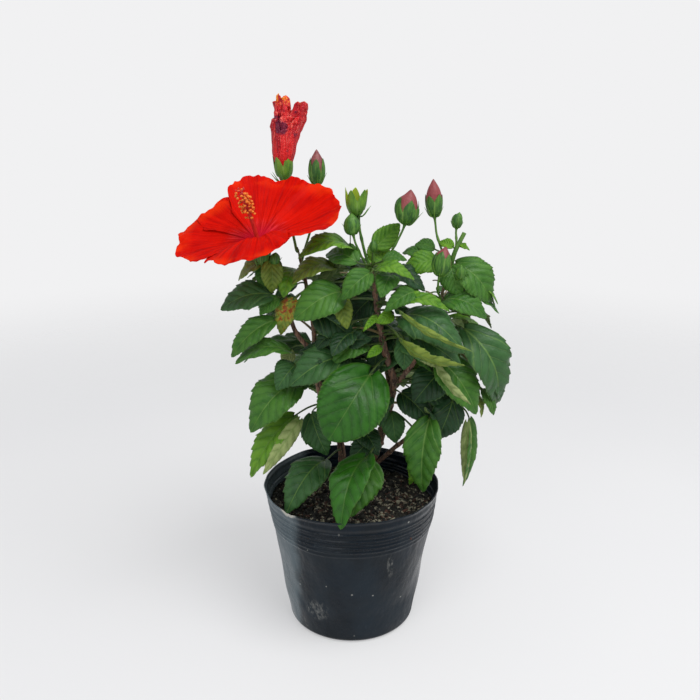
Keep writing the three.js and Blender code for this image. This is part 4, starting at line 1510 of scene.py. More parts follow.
bloomLook = {
    # where each petal starts and ends by bearing, and how far those edges sink or rise in mm
    "petals": ((28, 143, -1.0, 1.6), (-76, 53, -0.8, 1.2), (-149, -45, 1.0, 1.4), (146, 229, -1.4, -0.8),
               (122, 172, -1.0, 2.4)),
    # how far out and how high the edge stands by bearing, in mm
    "rim": ((-167, 65, -10), (-152, 57, -15), (-133, 52, -12), (-111, 53, -12), (-90, 53, -9), (-73, 50, -4),
            (-61, 49, 2), (-52, 47, 8), (-41, 60, 10), (-31, 65, 12), (-13, 65, 17), (9, 66, 27),
            (18, 65, 30),
            (33, 64, 35), (42, 57, 37), (49, 53, 41), (63, 52, 43), (73, 49, 41), (95, 47, 43), (112, 47, 42),
            (125, 44, 36), (138, 40, 28), (148, 43, 20), (158, 53.5, 13), (165, 60, 8), (174, 66, 2),
            (183, 62.5, -4)),
    # how much a petal humps between throat and edge
    "hump": ((-150, 1), (-133, 3), (-110, 6), (-90, 6.5), (-68, 6), (-52, 4), (-38, 1), (-15, -1.5),
             (20, -2.5), (60, -1), (95, -3), (130, -2), (165, 2), (185, -1)),
    "rows": 64, "columns": 90, "thickness": 0.45, "funnel": 6,
    "ruffle": 2.2, "frill": 1.0, "pleat": 1.0, "stamensPerMetre": 900000.0, "stamenSpacing": 0.85,
    "red": rgb(182, 6, 0), "orange": rgb(202, 16, 1), "deep": rgb(142, 1, 3), "throat": rgb(190, 14, 46),
    "ray": rgb(214, 54, 58), "curled": rgb(212, 40, 4),
    "pollen": (rgb(206, 78, 12), rgb(236, 146, 44)), "filament": rgb(222, 44, 28),
}


def petalMaterial():
    look = bloomLook
    material, tree = newMaterial("petalSkin", 0.55, specularIorLevel=0.04)
    share, turn, number = splitVector(markOf(tree, "petalSpace"))
    fan = vectorOf(tree, times(turn, 26.0), times(share, 2.2), number)
    veins = noiseAt(fan, 1.0, 4.0, 0.6, 0.3)
    wide = vectorOf(tree, times(turn, 8.0), share, number)
    folds = noiseAt(wide, 1.0, 3.0, 0.55, 0.4)
    mottled = mottle(tree, 0.018)
    skin = mixColours(mottled, look["red"], look["orange"])
    # painted highlight and shade of broad radial folds: orange where they would rise, deep red where they
    # would sink
    skin = tintWhere(skin, look["orange"], folds, 0.5, 0.66, 0.7)
    skin = tintWhere(skin, look["deep"], folds, 0.48, 0.34, 0.6)
    skin = tintWhere(skin, look["deep"], veins, 0.5, 0.34, 0.4)
    skin = tintWhere(skin, look["deep"], share, 0.42, 0.2, 0.5)
    broad = noiseAt(objectPlace(tree), 46.0, 3.0)
    curl = times(remap(share, 0.8, 1.0), remap(broad, 0.46, 0.6))
    skin = mixColours(curl, skin, look["curled"])
    band = remap(calc("ABSOLUTE", minus(share, 0.26)), 0.2, 0.03, 0.0, 0.8)
    rays = times(remap(veins, 0.5, 0.62), band)
    skin = mixColours(rays, skin, look["ray"])
    skin = tintWhere(skin, look["throat"], share, 0.34, 0.06, 0.85)
    rough = remap(veins, 0.3, 0.7, 0.44, 0.62)
    return dress(material, skin, rough, veins, 0.0005, 0.9)


def roundTable(rows, column):
    # a smooth value for every degree round the throat
    marks = [row[0] % 360 for row in rows]
    order = np.argsort(marks)
    values = np.interp(np.arange(360), np.array(marks)[order], np.array([row[column] for row in rows])[order],
                       period=360)
    weights = np.array([1, 2, 3, 4, 3, 2, 1]) / 16
    return sum(np.roll(values, k - 3) * weights[k] for k in range(7))


def buildBloom():
    look = bloomLook
    column = centreLine("bloom_column", 12)[0]
    throat = column[0] + np.array([0.2, 0.2, 5.2]) * mm
    tables = roundTable(look["rim"], 1), roundTable(look["rim"], 2), roundTable(look["hump"], 1)
    pile = Pile()
    for number, (first, last, lowEdge, highEdge) in enumerate(look["petals"]):
        bearing, spread = (first + last) / 2, (last - first) / 2
        s = np.linspace(0, 1, look["rows"])[:, None] ** 0.9
        tau = np.linspace(-1, 1, look["columns"])[None, :]
        degrees = bearing + spread * tau + 9 * tau * (1 - s) ** 2
        angle = np.radians(degrees)
        reach, rise, hump = (np.interp(degrees, np.arange(360), table, period=360) * mm for table in tables)
        corner = 1 - 0.3 * ease(1 - 16 / spread, 1.0, np.abs(tau)) ** 1.4
        seedSpot = polar(6, angle, number * 3.0)
        notch = 0.03 * grain(seedSpot, 0.8, number)
        notch += 0.014 * grain(seedSpot, 0.3, number + 9)
        q = s * corner * (1 + notch)
        out = reach * q
        height = rise * q ** 1.15 - look["funnel"] * mm * np.exp(-q / 0.11)
        height += hump * np.sin(np.pi * np.clip(q, 0, 1)) ** 1.3
        spot = polar(out, angle, number * 0.1)
        wave = grain(spot, 12 * mm, number + 3) + 0.5 * grain(spot, 6 * mm, number + 5)
        height += look["ruffle"] * mm * wave * q ** 3
        height += look["frill"] * mm * grain(spot, 3.4 * mm, number + 7) * s ** 6
        fan = gather(degrees / 5.0, q * 1.5, number * 4.0)
        pleats = grain(fan, 1.0, number + 20)
        fine = grain(fan * [2.6, 1, 1], 1.0, number + 30)
        height += look["pleat"] * mm * (pleats + 0.35 * fine) * np.sin(np.pi * np.clip(q * 0.86, 0, 1)) ** 0.8
        turned = np.where(tau > 0, highEdge, lowEdge) * np.abs(tau) ** 2.2
        height += turned * mm * ease(0.05, 0.6, s)
        height -= 0.1 * mm * number * (1 - s)
        points = throat + np.stack([out * np.cos(angle), out * np.sin(angle), height], -1)
        thick = look["thickness"] * mm * (1 - 0.6 * s ** 6)[..., None]
        addSheet(pile, points, thick, (3, 2, 1, 0), (0, 1, 2, 3),
                 petalSpace=gather(q, tau, number * 2.0).reshape(-1, 3))
    piece = pile.build("bloom_petals", [petalMaterial()])
    keepPiece(piece, "petal", "bloom")
    buildColumn()


def pollenMaterial():
    look = bloomLook
    material, tree = newMaterial("pollenSkin", 0.75)
    fine = noiseAt(objectPlace(tree), 1400.0, 2.0)
    mottled = mottle(tree, 0.004, 0.7)
    skin = mixColours(times(plus(fine, mottled), 0.5), *look["pollen"])
    rough = remap(fine, 0.3, 0.7, 0.6, 0.85)
    return dress(material, skin, rough, fine, 0.0002)


def columnMaterial():
    look = bloomLook
    material, tree = newMaterial("columnSkin", 0.45, subsurfaceWeight=0.1, subsurfaceScale=0.001)
    lines = noiseAt(objectPlace(tree, (1, 1, 0.1)), 900.0, 3.0)
    skin = mixColours(lines, look["deep"], look["filament"])
    rough = remap(lines, 0.3, 0.7, 0.38, 0.55)
    return dress(material, skin, rough, lines, 0.0002)


def stamenTree():
    # stamens stand off the column along its own normals, leaning to its tip
    tree, given, out = geometryTree(
        "standStamens", [("Stamen", "Object", None), ("Density", "Float", 1.0), ("Seed", "Int", 4),
                         ("Filament", "Material", None), ("Pollen", "Material", None)])
    spots = addNode(tree, "GeometryNodeDistributePointsOnFaces", {
        "Mesh": given["Geometry"], "Distance Min": bloomLook["stamenSpacing"] * mm,
        "Density Max": given["Density"], "Seed": given["Seed"]}, distribute_method="POISSON")
    shape = addNode(tree, "GeometryNodeObjectInfo", {"Object": given["Stamen"], "As Instance": True})
    size = addNode(tree, "FunctionNodeRandomValue", {2: 0.7, 3: 1.15}, data_type="FLOAT")
    setOut = addNode(tree, "GeometryNodeInstanceOnPoints", {
        "Points": spots.outputs["Points"], "Instance": shape.outputs["Geometry"],
        "Rotation": spots.outputs["Rotation"], "Scale": size.outputs[1]})
    return finishTree(tree, out, setOut.outputs["Instances"], given["Filament"], "anther", given["Pollen"])


def addBall(pile, centre, radii, slot=0, sides=10, rows=7):
    # a small closed lump
    angle = ringAngles(sides)
    level = np.linspace(0, math.pi, rows + 2)[1:-1, None]
    ring = gather(np.sin(level) * np.cos(angle), np.sin(level) * np.sin(angle), -np.cos(level)).reshape(-1, 3)
    points = np.vstack([ring, [[0, 0, -1], [0, 0, 1]]]) * radii + centre
    start = pile.count
    pile.add(points, gridQuads(rows, sides, True), slot)
    pile.addFaces(fanFaces(sides, 0, rows * sides), start, slot)
    pile.addFaces(fanFaces(sides, (rows - 1) * sides, rows * sides + 1, True), start, slot)


def buildColumn():
    line, _ = centreLine("bloom_column", 30)
    axis = unit(line[-1] - line[0])
    foot = line[0] - axis * 2 * mm
    tip = line[-1] - axis * 2.5 * mm - np.array([3.2, 0, 0]) * mm
    t = np.linspace(0, 1, 60)[:, None]
    bend = np.array([0.5, 0.2, 0]) * mm
    path = foot + (tip - foot) * t + bend * np.sin(np.pi * t) * 2
    column = Pile()
    addTube(column, path, np.interp(t[:, 0], [0, 0.2, 0.6, 0.97, 1], [2.4, 1.85, 1.6, 1.2, 0.6]) * mm, 16,
            relief=lambda s, a, p: 1 + 0.05 * np.cos(5 * a))
    for k in range(5):
        side, _, up = localFrame(axis, k * 2 * math.pi / 5 + 0.4)
        s = np.linspace(0, 1, 8)[:, None]
        branch = path[-1] + side * 3.4 * mm * s ** 1.4 + up * 3.0 * mm * s - up * 1.0 * mm
        addTube(column, branch, np.linspace(0.35, 0.28, 8) * mm, 6)
        addBall(column, branch[-1], np.array([0.85, 0.85, 0.7]) * mm)
    skin = columnMaterial()
    piece = column.build("bloom_column_tube", [skin])
    keepPiece(piece, "stamen", "bloom_column")

    stamen = Pile()
    s = np.linspace(0, 1, 7)[:, None]
    stalk = np.hstack([0.9 * s ** 2, 0 * s, 3.3 * s]) * mm
    addTube(stamen, stalk, np.linspace(0.2, 0.15, 7) * mm, 5, 0)
    addBall(stamen, stalk[-1], np.array([1.4, 1.05, 0.95]) * mm, 1, 8, 4)
    shape = stamen.build("oneStamen", [skin])
    markSecondSlot(shape, "anther")
    sleeve = Pile()
    upper = path[(t[:, 0] > 0.6) & (t[:, 0] < 0.98)]
    addTube(sleeve, upper, np.full(len(upper), 1.3 * mm), 16)
    host = sleeve.build("stamenSleeve", [skin])
    piece = grow(host, stamenTree(), {
        "Stamen": shape, "Density": bloomLook["stamensPerMetre"], "Seed": 4, "Filament": skin,
        "Pollen": pollenMaterial()}, "stamens")
    bpy.data.objects.remove(shape)
    keepPiece(piece, "stamen")
    print("stamens", len(piece.data.polygons))


buildBloom()
print("bloom made")


# the wilted bloom: rolled, crumpled sheets that stand up out of their calyx

wiltedLook = {
    # bearing, half spread, height share, how far its top stands right and its radius there in mm,
    # how far its edge rolls out, how bright its red is (low on the back sheet: painted shade)
    "sheets": ((90, 85, 0.84, 8.5, 10.0, 0.0, 0.3), (15, 60, 0.86, 10.5, 9.2, 0.5, 0.5),
               (-66, 68, 0.93, 14.6, 7.8, 0.8, 0.5), (-114, 66, 0.985, 3.8, 7.4, 0.2, 0.9),
               (165, 60, 0.94, 4.2, 8.8, 0.0, 0.6), (-82, 48, 0.605, 2.6, 10.4, 0.6, 0.9),
               (-148, 44, 0.72, 2.2, 10.0, 0.0, 0.25), (-44, 42, 0.75, 9.6, 10.4, 1.4, 1.0),
               (-92, 46, 0.765, 7.0, 8.4, 1.8, 0.8)),
    "rows": 64, "columns": 64, "thickness": 0.5, "crumple": 1.2,
    "red": rgb(228, 8, 20), "pink": rgb(255, 122, 108), "dark": rgb(160, 4, 32), "bruise": rgb(74, 8, 54),
    "amber": rgb(246, 140, 30),
}


def wiltedMaterial():
    look = wiltedLook
    material, tree = newMaterial("wiltedSkin", 0.42, specularIorLevel=0.4)
    share, turn, number = splitVector(markOf(tree, "petalSpace"))
    fan = vectorOf(tree, times(turn, 16.0), times(share, 3.0), number)
    veins = noiseAt(fan, 1.0, 4.0, 0.65, 0.5)
    spot = noiseAt(objectPlace(tree), 130.0, 4.0, 0.6)
    creased = noiseAt(objectPlace(tree), 330.0, 3.0, 0.5, 1.4)
    # each sheet's own red, darker on the back sheet as painted shade
    own = markOf(tree, "sheetTone", "Fac")
    skin = mixColours(own, look["dark"], look["red"])
    skin = tintWhere(skin, look["pink"], own, 0.3, 0.9, 0.08)
    skin = tintWhere(skin, look["pink"], veins, 0.56, 0.68, 0.7)
    skin = tintWhere(skin, look["dark"], veins, 0.44, 0.3, 0.7)
    # painted highlight on the crumpled ridges of the upper sheets and painted shade in their creases
    high = remap(share, 0.5, 0.66)
    skin = tint(skin, look["pink"], high, remap(creased, 0.56, 0.66, 0.0, 0.85))
    skin = tint(skin, look["dark"], high, remap(creased, 0.45, 0.36, 0.0, 0.85))
    band = remap(calc("ABSOLUTE", minus(share, 0.62)), 0.17, 0.02)
    placeX = splitVector(objectPlace(tree))[0]
    leftSide = remap(calc("ABSOLUTE", minus(placeX, -0.0585)), 0.008, 0.001)
    bruise = plus(times(band, leftSide), times(minus(spot, 0.5), 3.2))
    skin = tintWhere(skin, look["bruise"], bruise, 0.3, 0.72, 0.8)
    crown = times(remap(share, 0.87, 0.96), remap(creased, 0.5, 0.56))
    skin = mixColours(crown, skin, look["amber"])
    rough = remap(veins, 0.3, 0.7, 0.26, 0.5)
    return dress(material, skin, rough, plus(veins, creased), 0.0011)


def buildWilted():
    look = wiltedLook
    high = boxOf("wilted_bloom")[1]
    calyx = centreLine("wilted_calyx", 30)[0]
    foot = np.array([calyx[-1][0] + 2.6 * mm, calyx[-1][1], calyx[-1][2] - 19 * mm])
    tall = high[2] - foot[2] - 1 * mm
    pile = Pile()
    for number, (bearing, spread, height, aside, top, roll, tone) in enumerate(look["sheets"]):
        s = np.linspace(0, 1, look["rows"])[:, None]
        tau = np.linspace(-1, 1, look["columns"])[None, :]
        marks = np.stack([tau[0] * 3, np.full(tau.shape[1], number * 1.7), np.zeros(tau.shape[1])], 1)
        rim = 1 - 0.07 * np.abs(tau) ** 2.5 - 0.14 * ease(0.7, 1, np.abs(tau)) ** 2
        rim = rim + (0.03 * grain(marks, 1.0, number) + 0.012 * grain(marks, 0.45, number + 3))[None, :]
        rim = rim - (0.1 if aside > 8 else 0.0) * ease(-0.2, 1, tau)
        level = s * rim * height
        angle = np.radians(bearing + spread * tau) + 0.12 * level
        girth = np.interp(level, [0, 0.14, 0.3, 0.5], [2.5, 5.8, 9.0, 10.4])
        girth = (girth + (top - 10.4) * ease(0.4, 0.85, level)) * mm
        wide = girth * (0.97 + 0.04 * tau)
        wide = wide * (1 + 0.035 * np.sin(tau * 11 + 3 * level + number) + 0.018 * np.sin(tau * 27 + number))
        wide = wide + roll * mm * ease(0.72, 1.0, s) ** 1.5
        base = polar(9, angle, level * 40 + number * 20)
        rough = grain(base, 4.4, number) + 0.6 * grain(base, 2.0, number + 4)
        rough = rough + 0.3 * grain(base, 1.0, number + 6)
        wide = wide + rough * look["crumple"] * mm * (0.3 + 1.35 * ease(0.5, 0.72, level))
        drop = grain(base, 4.0, number + 11) * mm * ease(0.5, 1, level)
        middleX = foot[0] + (0.4 + 1.6 * ease(0, 0.45, level) + (aside - 2) * ease(0.38, 0.9, level)) * mm
        points = np.stack([middleX + wide * np.cos(angle), foot[1] + wide * np.sin(angle) * 0.96,
                           foot[2] + tall * level + drop], -1)
        space = gather(level, tau, number * 2.0).reshape(-1, 3)
        addSheet(pile, points, look["thickness"] * mm, petalSpace=space, sheetTone=np.full(level.size, tone))
    piece = pile.build("wilted_petals", [wiltedMaterial()])
    keepPiece(piece, "wilted_petal", "wilted_bloom")


buildWilted()
print("wilted bloom made")


# the blown film pot

potLook = {
    "around": 384, "levels": 175, "wall": 0.9,
    # pressed rings: depth below the rim, how far they stand out, half their width
    "rings": ((7.0, 0.9, 2.4), (12.4, 1.3, 0.85), (15.4, 0.7, 0.6), (18.6, 1.4, 0.9), (22.0, 0.9, 0.7),
              (25.4, 1.3, 0.85), (29.6, 1.1, 0.9), (33.6, 0.6, 1.0)),
    # folds down the wall: bearing, top, bottom, depth
    "creases": ((-129, 92, 24, 0.42), (-36, 60, 30, 0.3), (22, 86, 30, 0.5), (148, 88, 16, 0.5)),
    # the tear in the rim: bearing and half width in degrees; the inner floor under the soil, in mm
    "tearAt": 227, "tearWide": 4.0, "footRounding": 4.5, "innerFloor": 100,
    # the pale dust colour serves for real dust and also for the painted sheen down the left side
    "film": rgb(4, 14, 22), "filmLight": rgb(10, 25, 36), "dust": rgb(100, 114, 120),
    "scratch": rgb(88, 98, 106), "speck": rgb(190, 190, 182), "torn": rgb(170, 168, 160),
    # rubbed patches: place across and up, half width and half height in mm
    "smears": ((-29, 30, 12, 13), (32, 77, 3.5, 14)),
}


def potMaterial():
    look = potLook
    material, tree = newMaterial("filmPlastic", 0.36, specularIorLevel=0.21)
    here = objectPlace(tree)
    worn = place(tree, effects["dustAndScuffs"], vector=here, amount=0.5)
    mottled = mottle(tree, 0.04)
    skin = mixColours(mottled, look["film"], look["filmLight"])
    skin = tint(skin, look["dust"], worn["Dust"], 0.09)
    skin = tint(skin, look["scratch"], worn["Scratches"], 0.22)
    skin = tint(skin, look["speck"], worn["Specks"], 0.6)
    across, _, tall = splitVector(here)
    # painted reflection: the dust colour laid thickly down the pot's left side stands for the sheen of the
    # bright room on the film
    patchy = noiseAt(here, 55.0, 4.0, 0.62)
    side = remap(plus(across, times(patchy, 0.012)), -0.034, -0.043)
    skin = tint(skin, look["dust"], side, 0.62)
    rubbed = noiseAt(objectPlace(tree, (1, 1, 0.45)), 420.0, 5.0, 0.7)
    for x, z, wide, high in look["smears"]:
        offX = calc("DIVIDE", minus(across, x * mm), wide * mm)
        offZ = calc("DIVIDE", minus(tall, z * mm), high * mm)
        off = plus(calc("POWER", offX, 2.0), calc("POWER", offZ, 2.0))
        near = times(remap(off, 1.0, 0.1), remap(rubbed, 0.44, 0.7))
        skin = tint(skin, look["speck"], near, 0.27)
    skin = mixColours(markOf(tree, "torn", "Fac"), skin, look["torn"])
    rough = plus(remap(mottled, 0, 1, 0.24, 0.38), times(worn["Dust"], 0.45))
    rough = plus(rough, times(worn["Scratches"], 0.1))
    rough = minus(rough, remap(tall, 0.088, 0.1, 0.0, 0.08))
    dents = noiseAt(objectPlace(tree, (1, 1, 0.6)), 42.0, 4.0, 0.5)
    return dress(material, skin, rough, dents, 0.003, 0.9)


def buildPot():
    look = potLook
    tall = boxOf("pot")[1][2]
    points = nodePoints("pot")
    foot = np.hypot(*points[(points[:, 2] > 3.5 * mm) & (points[:, 2] < 6 * mm)][:, :2].T).max()
    rim = np.hypot(*points[points[:, 2] > tall - 2 * mm][:, :2].T).max()
    sides = look["around"]
    angle = ringAngles(sides)
    bearing = np.degrees(angle)
    edge = polar(1, angle, 0)
    rimHeight = tall + (0.9 * grain(edge, 0.55, 2) + 0.5 * grain(edge, 0.2, 3)) * mm
    torn = np.exp(-(((bearing - look["tearAt"]) + 180) % 360 - 180) ** 2 / 2 / look["tearWide"] ** 2)
    rimHeight = rimHeight - torn * (1.9 + 0.8 * grain(edge, 0.03, 5)) * mm

    def wallAt(z, inner):
        # z is a grid of heights; the film bulges, dents and carries its pressed rings
        spot = polar(60, angle, z / mm)
        radius = foot + (rim - foot) * z / tall
        soft = grain(spot, 34, 7) * 1.1 + grain(spot * [1, 1, 0.5], 15, 8) * 0.45
        soft = soft * mm * ease(0, 30 * mm, z)
        slip = grain(spot * [1, 1, 0.1], 26, 9) * 0.7 * mm
        rings = np.zeros_like(z)
        strength = 0.75 + 0.35 * grain(spot * [1, 1, 0.3], 22, 10)
        for below, proud, half in look["rings"]:
            d = (z - (tall - below * mm) - slip) / (half * mm)
            rings += np.exp(-d * d) * proud
        radius = radius + soft + rings * strength * mm
        for at, topZ, bottomZ, depth in look["creases"]:
            wander = 1.8 * grain(spot * [0, 0, 1] + at, 16, 13)
            off = ((bearing[None, :] - at - wander - (z / mm - 60) * 0.05 + 180) % 360 - 180) / 1.5
            fade = ease(bottomZ - 12, bottomZ, z / mm) * (1 - ease(topZ, topZ + 14, z / mm))
            weak = 0.6 + 0.4 * grain(spot * [0, 0, 1] + at, 11, 14)
            radius = radius + np.tanh(off) * np.exp(-(off / 14) ** 2) * depth * weak * mm * fade
        lip = ease(3.4 * mm, 0.6 * mm, rimHeight[None, :] - z)
        radius = radius + lip * (0.9 + 0.6 * grain(spot, 9, 12)) * mm
        return radius - (look["wall"] * mm if inner else 0)

    def ringPoints(radius, z):
        return polar(radius, angle, z)

    def levelWall(z, inner=False):
        return wallAt(np.full((1, sides), z), inner)

    levels = look["levels"]
    rounding = look["footRounding"] * mm
    t = np.linspace(0, 1, levels)[:, None]
    z = rounding + (rimHeight[None, :] - rounding) * t
    outside = ringPoints(wallAt(z, False), z)
    a = np.linspace(0, math.pi / 2, 8)[:-1, None]
    footRadius = levelWall(rounding)
    curved = ringPoints(footRadius - rounding * (1 - np.sin(a)), rounding * (1 - np.cos(a)))
    underside = [ringPoints((footRadius - rounding) * f, 0) for f in (0.35, 0.7, 0.9)]
    floorZ = look["innerFloor"] * mm
    zIn = (rimHeight[None, :] - 0.1 * mm) + (floorZ - rimHeight[None, :]) * np.linspace(0, 1, 60)[:, None]
    inside = ringPoints(wallAt(zIn, True), zIn)
    floorRing = [ringPoints(levelWall(floorZ, True) * f, floorZ) for f in (0.7, 0.3)]
    grid = np.vstack(underside + [curved, outside, inside] + floorRing)
    rows = len(grid)
    pile = Pile()
    tearMark = np.zeros((rows, sides))
    start = len(underside) + len(curved)
    nearRim = np.exp(-((rimHeight[None, :] - grid[..., 2]) / (2.2 * mm)) ** 2)
    ragged = ease(0.1, 0.5, torn[None, :] * nearRim + 0.25 * grain(grid, 1.3 * mm, 3) * torn)
    tearMark[start:] = ragged[start:]
    pile.add(np.vstack([grid.reshape(-1, 3), [[0, 0, 0], [0, 0, floorZ]]]), gridQuads(rows, sides, True), 0,
             torn=np.concatenate([tearMark.ravel(), [0, 0]]))
    pile.addFaces(fanFaces(sides, 0, rows * sides), 0)
    pile.addFaces(fanFaces(sides, (rows - 1) * sides, rows * sides + 1, True), 0)
    piece = pile.build("film_pot", [potMaterial()])
    keepPiece(piece, "pot_plastic", "pot")
    return wallAt


wallAt = buildPot()
print("pot made")


# the potting mix: an uneven bed with crumbs, chips and fibres on it

soilLook = {
    "rings": 80, "rough": 2.3, "bottom": 101.5, "crumbs": 150000.0, "chips": 56000.0, "fibres": 46000.0,
    "dark": rgb(16, 17, 13), "brown": rgb(36, 34, 25), "light": rgb(156, 152, 130), "red": rgb(90, 52, 36),
    "fibre": rgb(122, 114, 88),
}


def soilMaterial(name, first, second, third, share):
    material, tree = newMaterial(name, 0.85)
    here = objectPlace(tree)
    broad = mottle(tree, 0.012, 0.7)
    cells = addNode(tree, "ShaderNodeTexVoronoi", {"Vector": here, "Scale": 420})
    pick = splitVector(cells.outputs["Color"])[0]
    skin = mixColours(broad, first, second)
    skin = mixColours(remap(pick, share, share + 0.06), skin, third)
    fine = noiseAt(here, 1500.0, 3.0)
    skin = tintWhere(skin, first, fine, 0.6, 0.35, 0.6)
    rough = remap(fine, 0.3, 0.7, 0.7, 0.95)
    return dress(material, skin, rough, fine, 0.0006)


def scatterPieces(name, seedValue):
    # small solids dealt over the bed with random turns and sizes
    tree, given, out = geometryTree(name, [("Shapes", "Collection", None), ("Density", "Float", 1000.0),
                                           ("Smallest", "Float", 0.5), ("Largest", "Float", 1.3),
                                           ("Tip Over", "Float", 3.1), ("Seed", "Int", seedValue),
                                           ("Skin", "Material", None)])
    spots = addNode(tree, "GeometryNodeDistributePointsOnFaces", {
        "Mesh": given["Geometry"], "Density": given["Density"], "Seed": given["Seed"]})
    shapes, pick = dealtShapes(tree, given["Shapes"], False)
    reach = vectorOf(tree, given["Tip Over"], given["Tip Over"], 6.28)
    spin = addNode(tree, "FunctionNodeRandomValue", {
        1: reach, "Seed": given["Seed"]}, data_type="FLOAT_VECTOR")
    size = addNode(tree, "FunctionNodeRandomValue", {
        2: given["Smallest"], 3: given["Largest"], "Seed": given["Seed"]}, data_type="FLOAT")
    setOut = addNode(tree, "GeometryNodeInstanceOnPoints", {
        "Points": spots.outputs["Points"], "Instance": shapes, "Pick Instance": True,
        "Instance Index": pick.outputs[2], "Rotation": spin.outputs[0], "Scale": size.outputs[1]})
    return finishTree(tree, out, setOut.outputs["Instances"], given["Skin"])


def lumpShelf(name, count, size, seed, flat=1.0, slim=0.8):
    shelf = newShelf(name)
    for k in range(count):
        pile = Pile()
        addBall(pile, np.zeros(3), np.array([1, slim, 0.7 * flat]) * size * mm, 0, 6, 3)
        piece = pile.build(name + str(k), [], smooth=False)
        putAway(shelf, piece)
        points = np.array([v.co for v in piece.data.vertices])
        points = points * (1 + 0.4 * grain(points + k * 0.1, size * 0.9 * mm, seed + k))[:, None]
        piece.data.vertices.foreach_set("co", points.astype(np.float32).ravel())
    return shelf


def fibreShelf(name, count, long, wide, seed):
    shelf = newShelf(name)
    rng = np.random.default_rng(seed)
    for k in range(count):
        pile = Pile()
        t = np.linspace(-1, 1, 6)[:, None]
        bend = rng.uniform(-0.35, 0.35, 3)
        path = np.hstack([t, bend[0] * t ** 2 + bend[1] * t ** 3 * 0.5, 0.18 * bend[2] * t ** 2]) * long * mm
        addTube(pile, path, np.array([0.5, 0.9, 1, 0.95, 0.8, 0.3]) * wide * mm, 4)
        piece = pile.build(name + str(k), [])
        putAway(shelf, piece)
    return shelf


def buildSoil():
    look = soilLook
    top = boxOf("soil")[1][2]
    sides = potLook["around"]
    angle = ringAngles(sides)
    share = np.linspace(0, 1, look["rings"])[:, None]
    edge = wallAt(np.full((1, sides), top - 1.2 * mm), True) + 0.2 * mm
    radius = edge * (0.004 + 0.996 * share)
    x, y = radius * np.cos(angle), radius * np.sin(angle)
    flat = gather(x, y, 0)
    rough = grain(flat, 22 * mm, 1) * 1.2 + grain(flat, 8 * mm, 2) * 0.8 + grain(flat, 3 * mm, 3) * 0.5
    mound = 0.0
    for stem in stemLook["stems"]:
        foot = limbLines[stem][0][0]
        mound = mound + 3.0 * np.exp(-((x - foot[0]) ** 2 + (y - foot[1]) ** 2) / (9 * mm) ** 2)
    z = top + (look["rough"] * rough + mound - 1.2 + 1.3 * (y - x) / (70 * mm)) * mm
    points = np.stack([x, y, z], -1).reshape(-1, 3)
    pile = Pile()
    rows = look["rings"]
    bottom = look["bottom"] * mm
    centre = [[0, 0, z[0].mean()], [0, 0, bottom]]
    lower = wallAt(np.full((1, sides), bottom), True)[0] - 0.4 * mm
    skirt = polar(lower, angle, bottom)
    pile.add(np.vstack([points, skirt, centre]), gridQuads(rows, sides, True), 0)
    pile.addFaces(gridQuads(2, sides, True), (rows - 1) * sides)
    pile.addFaces(fanFaces(sides, 0, (rows + 1) * sides), 0)
    pile.addFaces(fanFaces(sides, rows * sides, (rows + 1) * sides + 1, True), 0)
    bedSkin = soilMaterial("soilBed", look["dark"], look["brown"], look["light"], 0.9)
    keepPiece(pile.build("potting_mix", [bedSkin]), "soil", "soil")

    def bedCopy(name, inset):
        # only the open top, clear of the wall, to deal pieces over
        pile = Pile()
        keep = int(rows * inset)
        pile.add(points[:keep * sides], gridQuads(keep, sides, True), 0)
        return pile.build(name, [])

    for name, shelf, inset, density, sizes, tip, skin in (
            ("soil_crumbs", lumpShelf("crumbShape", 6, 1.3, 3), 0.975, look["crumbs"], (0.35, 2.3), 3.1,
             soilMaterial("soilCrumbs", look["dark"], look["brown"], look["light"], 0.93)),
            ("bark_chips", lumpShelf("chipShape", 6, 3.1, 13, 0.3, 0.26), 0.94, look["chips"],
             (0.5, 2.3), 0.7, soilMaterial("barkChips", look["dark"], look["red"], look["light"], 0.6)),
            ("soil_fibres", fibreShelf("fibreShape", 8, 4.2, 0.34, 5), 0.9, look["fibres"], (0.5, 2.0), 0.5,
             soilMaterial("soilFibres", look["brown"], look["fibre"], look["light"], 0.5))):
        tree = scatterPieces(name + "Scatter", 7)
        piece = grow(bedCopy(name + "Bed", inset), tree, {
            "Shapes": shelf, "Density": density, "Smallest": sizes[0], "Largest": sizes[1], "Tip Over": tip,
            "Seed": 7, "Skin": skin}, name)
        keepPiece(piece, "soil")
        print(name, len(piece.data.polygons))


buildSoil()
print("soil laid")


# floor, light and camera

roomLook = {
    "floor": (rgb(172, 172, 173), rgb(176, 176, 176)), "glowing": (rgb(232, 232, 233), rgb(236, 236, 236)),
    "sky": rgb(241, 241, 242), "fill": 0.6, "fillLight": rgb(250, 251, 255), "fade": (0.55, 1.5),
    "glow": 0.46, "sides": 96, "rings": (0.02, 0.1, 0.25, 0.6, 1.1, 1.7),
    # lamps: place, size and power, all turned to one spot
    "lamps": (("topLight", (0.35, -0.45, 1.4), 0.9, 12.5), ("frontLight", (-0.7, -1.3, 0.8), 1.0, 4.0),
              ("rightLight", (1.3, -0.2, 0.8), 0.9, 2.0)),
    "lampsAim": (0, 0, 0.22),
}


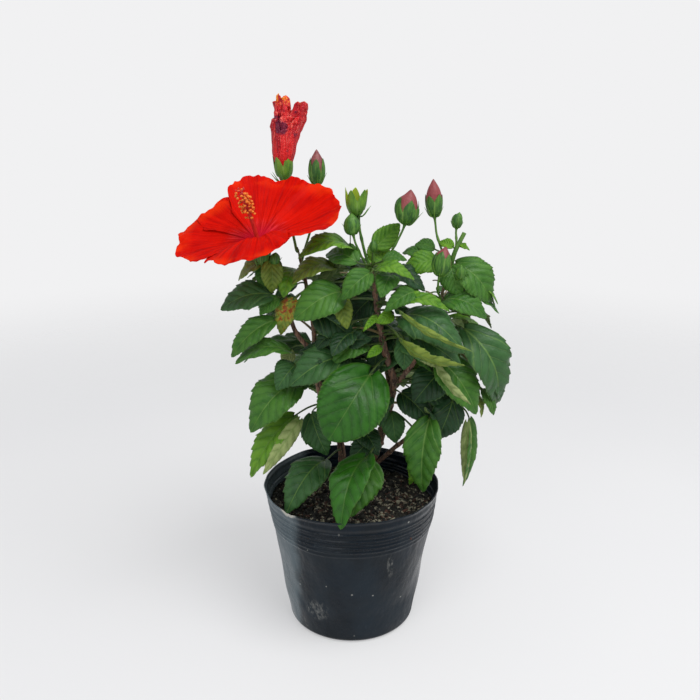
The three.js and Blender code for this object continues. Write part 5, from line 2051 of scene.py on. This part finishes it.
def buildRoom():
    look = roomLook
    pile = Pile()
    sides, rows = look["sides"], len(look["rings"])
    angle = ringAngles(sides)
    rings = np.array(look["rings"])[:, None]
    points = polar(rings, angle, -0.05 * mm).reshape(-1, 3)
    pile.add(np.vstack([points, [[0, 0, -0.05 * mm]]]), gridQuads(rows, sides, True), 0)
    pile.addFaces(fanFaces(sides, 0, rows * sides), 0)
    material, tree = newMaterial("floorPaper", 0.9)
    shader = tree.nodes["Principled BSDF"].inputs
    here = objectPlace(tree)
    far = addNode(tree, "ShaderNodeVectorMath", {0: here}, operation="LENGTH")
    soft = noiseAt(here, 3.0, 2.0)
    plug(shader["Base Color"], mixColours(soft, *look["floor"]))
    # the floor also glows: painted light that lifts the shadows cast on it to about half
    plug(shader["Emission Color"], mixColours(soft, *look["glowing"]))
    shader["Emission Strength"].default_value = look["glow"]
    plug(shader["Alpha"], remap(far.outputs["Value"], *look["fade"], 1.0, 0.0))
    floor = pile.build("floor", [material])

    world = bpy.data.worlds.new("studio")
    bpy.context.scene.world = world
    world.use_nodes = True
    tree = world.node_tree
    tree.nodes.clear()
    seen = addNode(tree, "ShaderNodeBackground", {"Color": look["sky"]}).outputs[0]
    fill = {"Color": look["fillLight"], "Strength": look["fill"]}
    light = addNode(tree, "ShaderNodeBackground", fill).outputs[0]
    cameraRay = addNode(tree, "ShaderNodeLightPath").outputs["Is Camera Ray"]
    mix = addNode(tree, "ShaderNodeMixShader", {0: cameraRay, 1: light, 2: seen})
    addNode(tree, "ShaderNodeOutputWorld", {"Surface": mix.outputs[0]})

    for name, spot, size, power in look["lamps"]:
        data = bpy.data.lights.new(name, "AREA")
        data.shape = "DISK"
        data.size = size
        data.energy = power
        lamp = newObject(name, data)
        lamp.location = spot
        lamp.rotation_euler = (Vector(look["lampsAim"]) - Vector(spot)).to_track_quat("-Z", "Y").to_euler()

    look = cameraLook
    data = bpy.data.cameras.new("camera")
    camera = newObject("camera", data)
    camera.location = eye
    camera.rotation_euler = (math.radians(90 - look["dip"]), 0, 0)
    data.lens = look["lens"]
    data.sensor_width = 36
    data.shift_x = look["shift"]
    data.clip_start, data.clip_end = 0.02, 30
    scene = bpy.context.scene
    scene.camera = camera
    scene.view_settings.view_transform = "Standard"
    scene.view_settings.look = "None"


buildRoom()
print("room, lights and camera set")

for shelf in shelves:
    for piece in list(shelf.objects):
        bpy.data.objects.remove(piece)
    bpy.data.collections.remove(shelf)
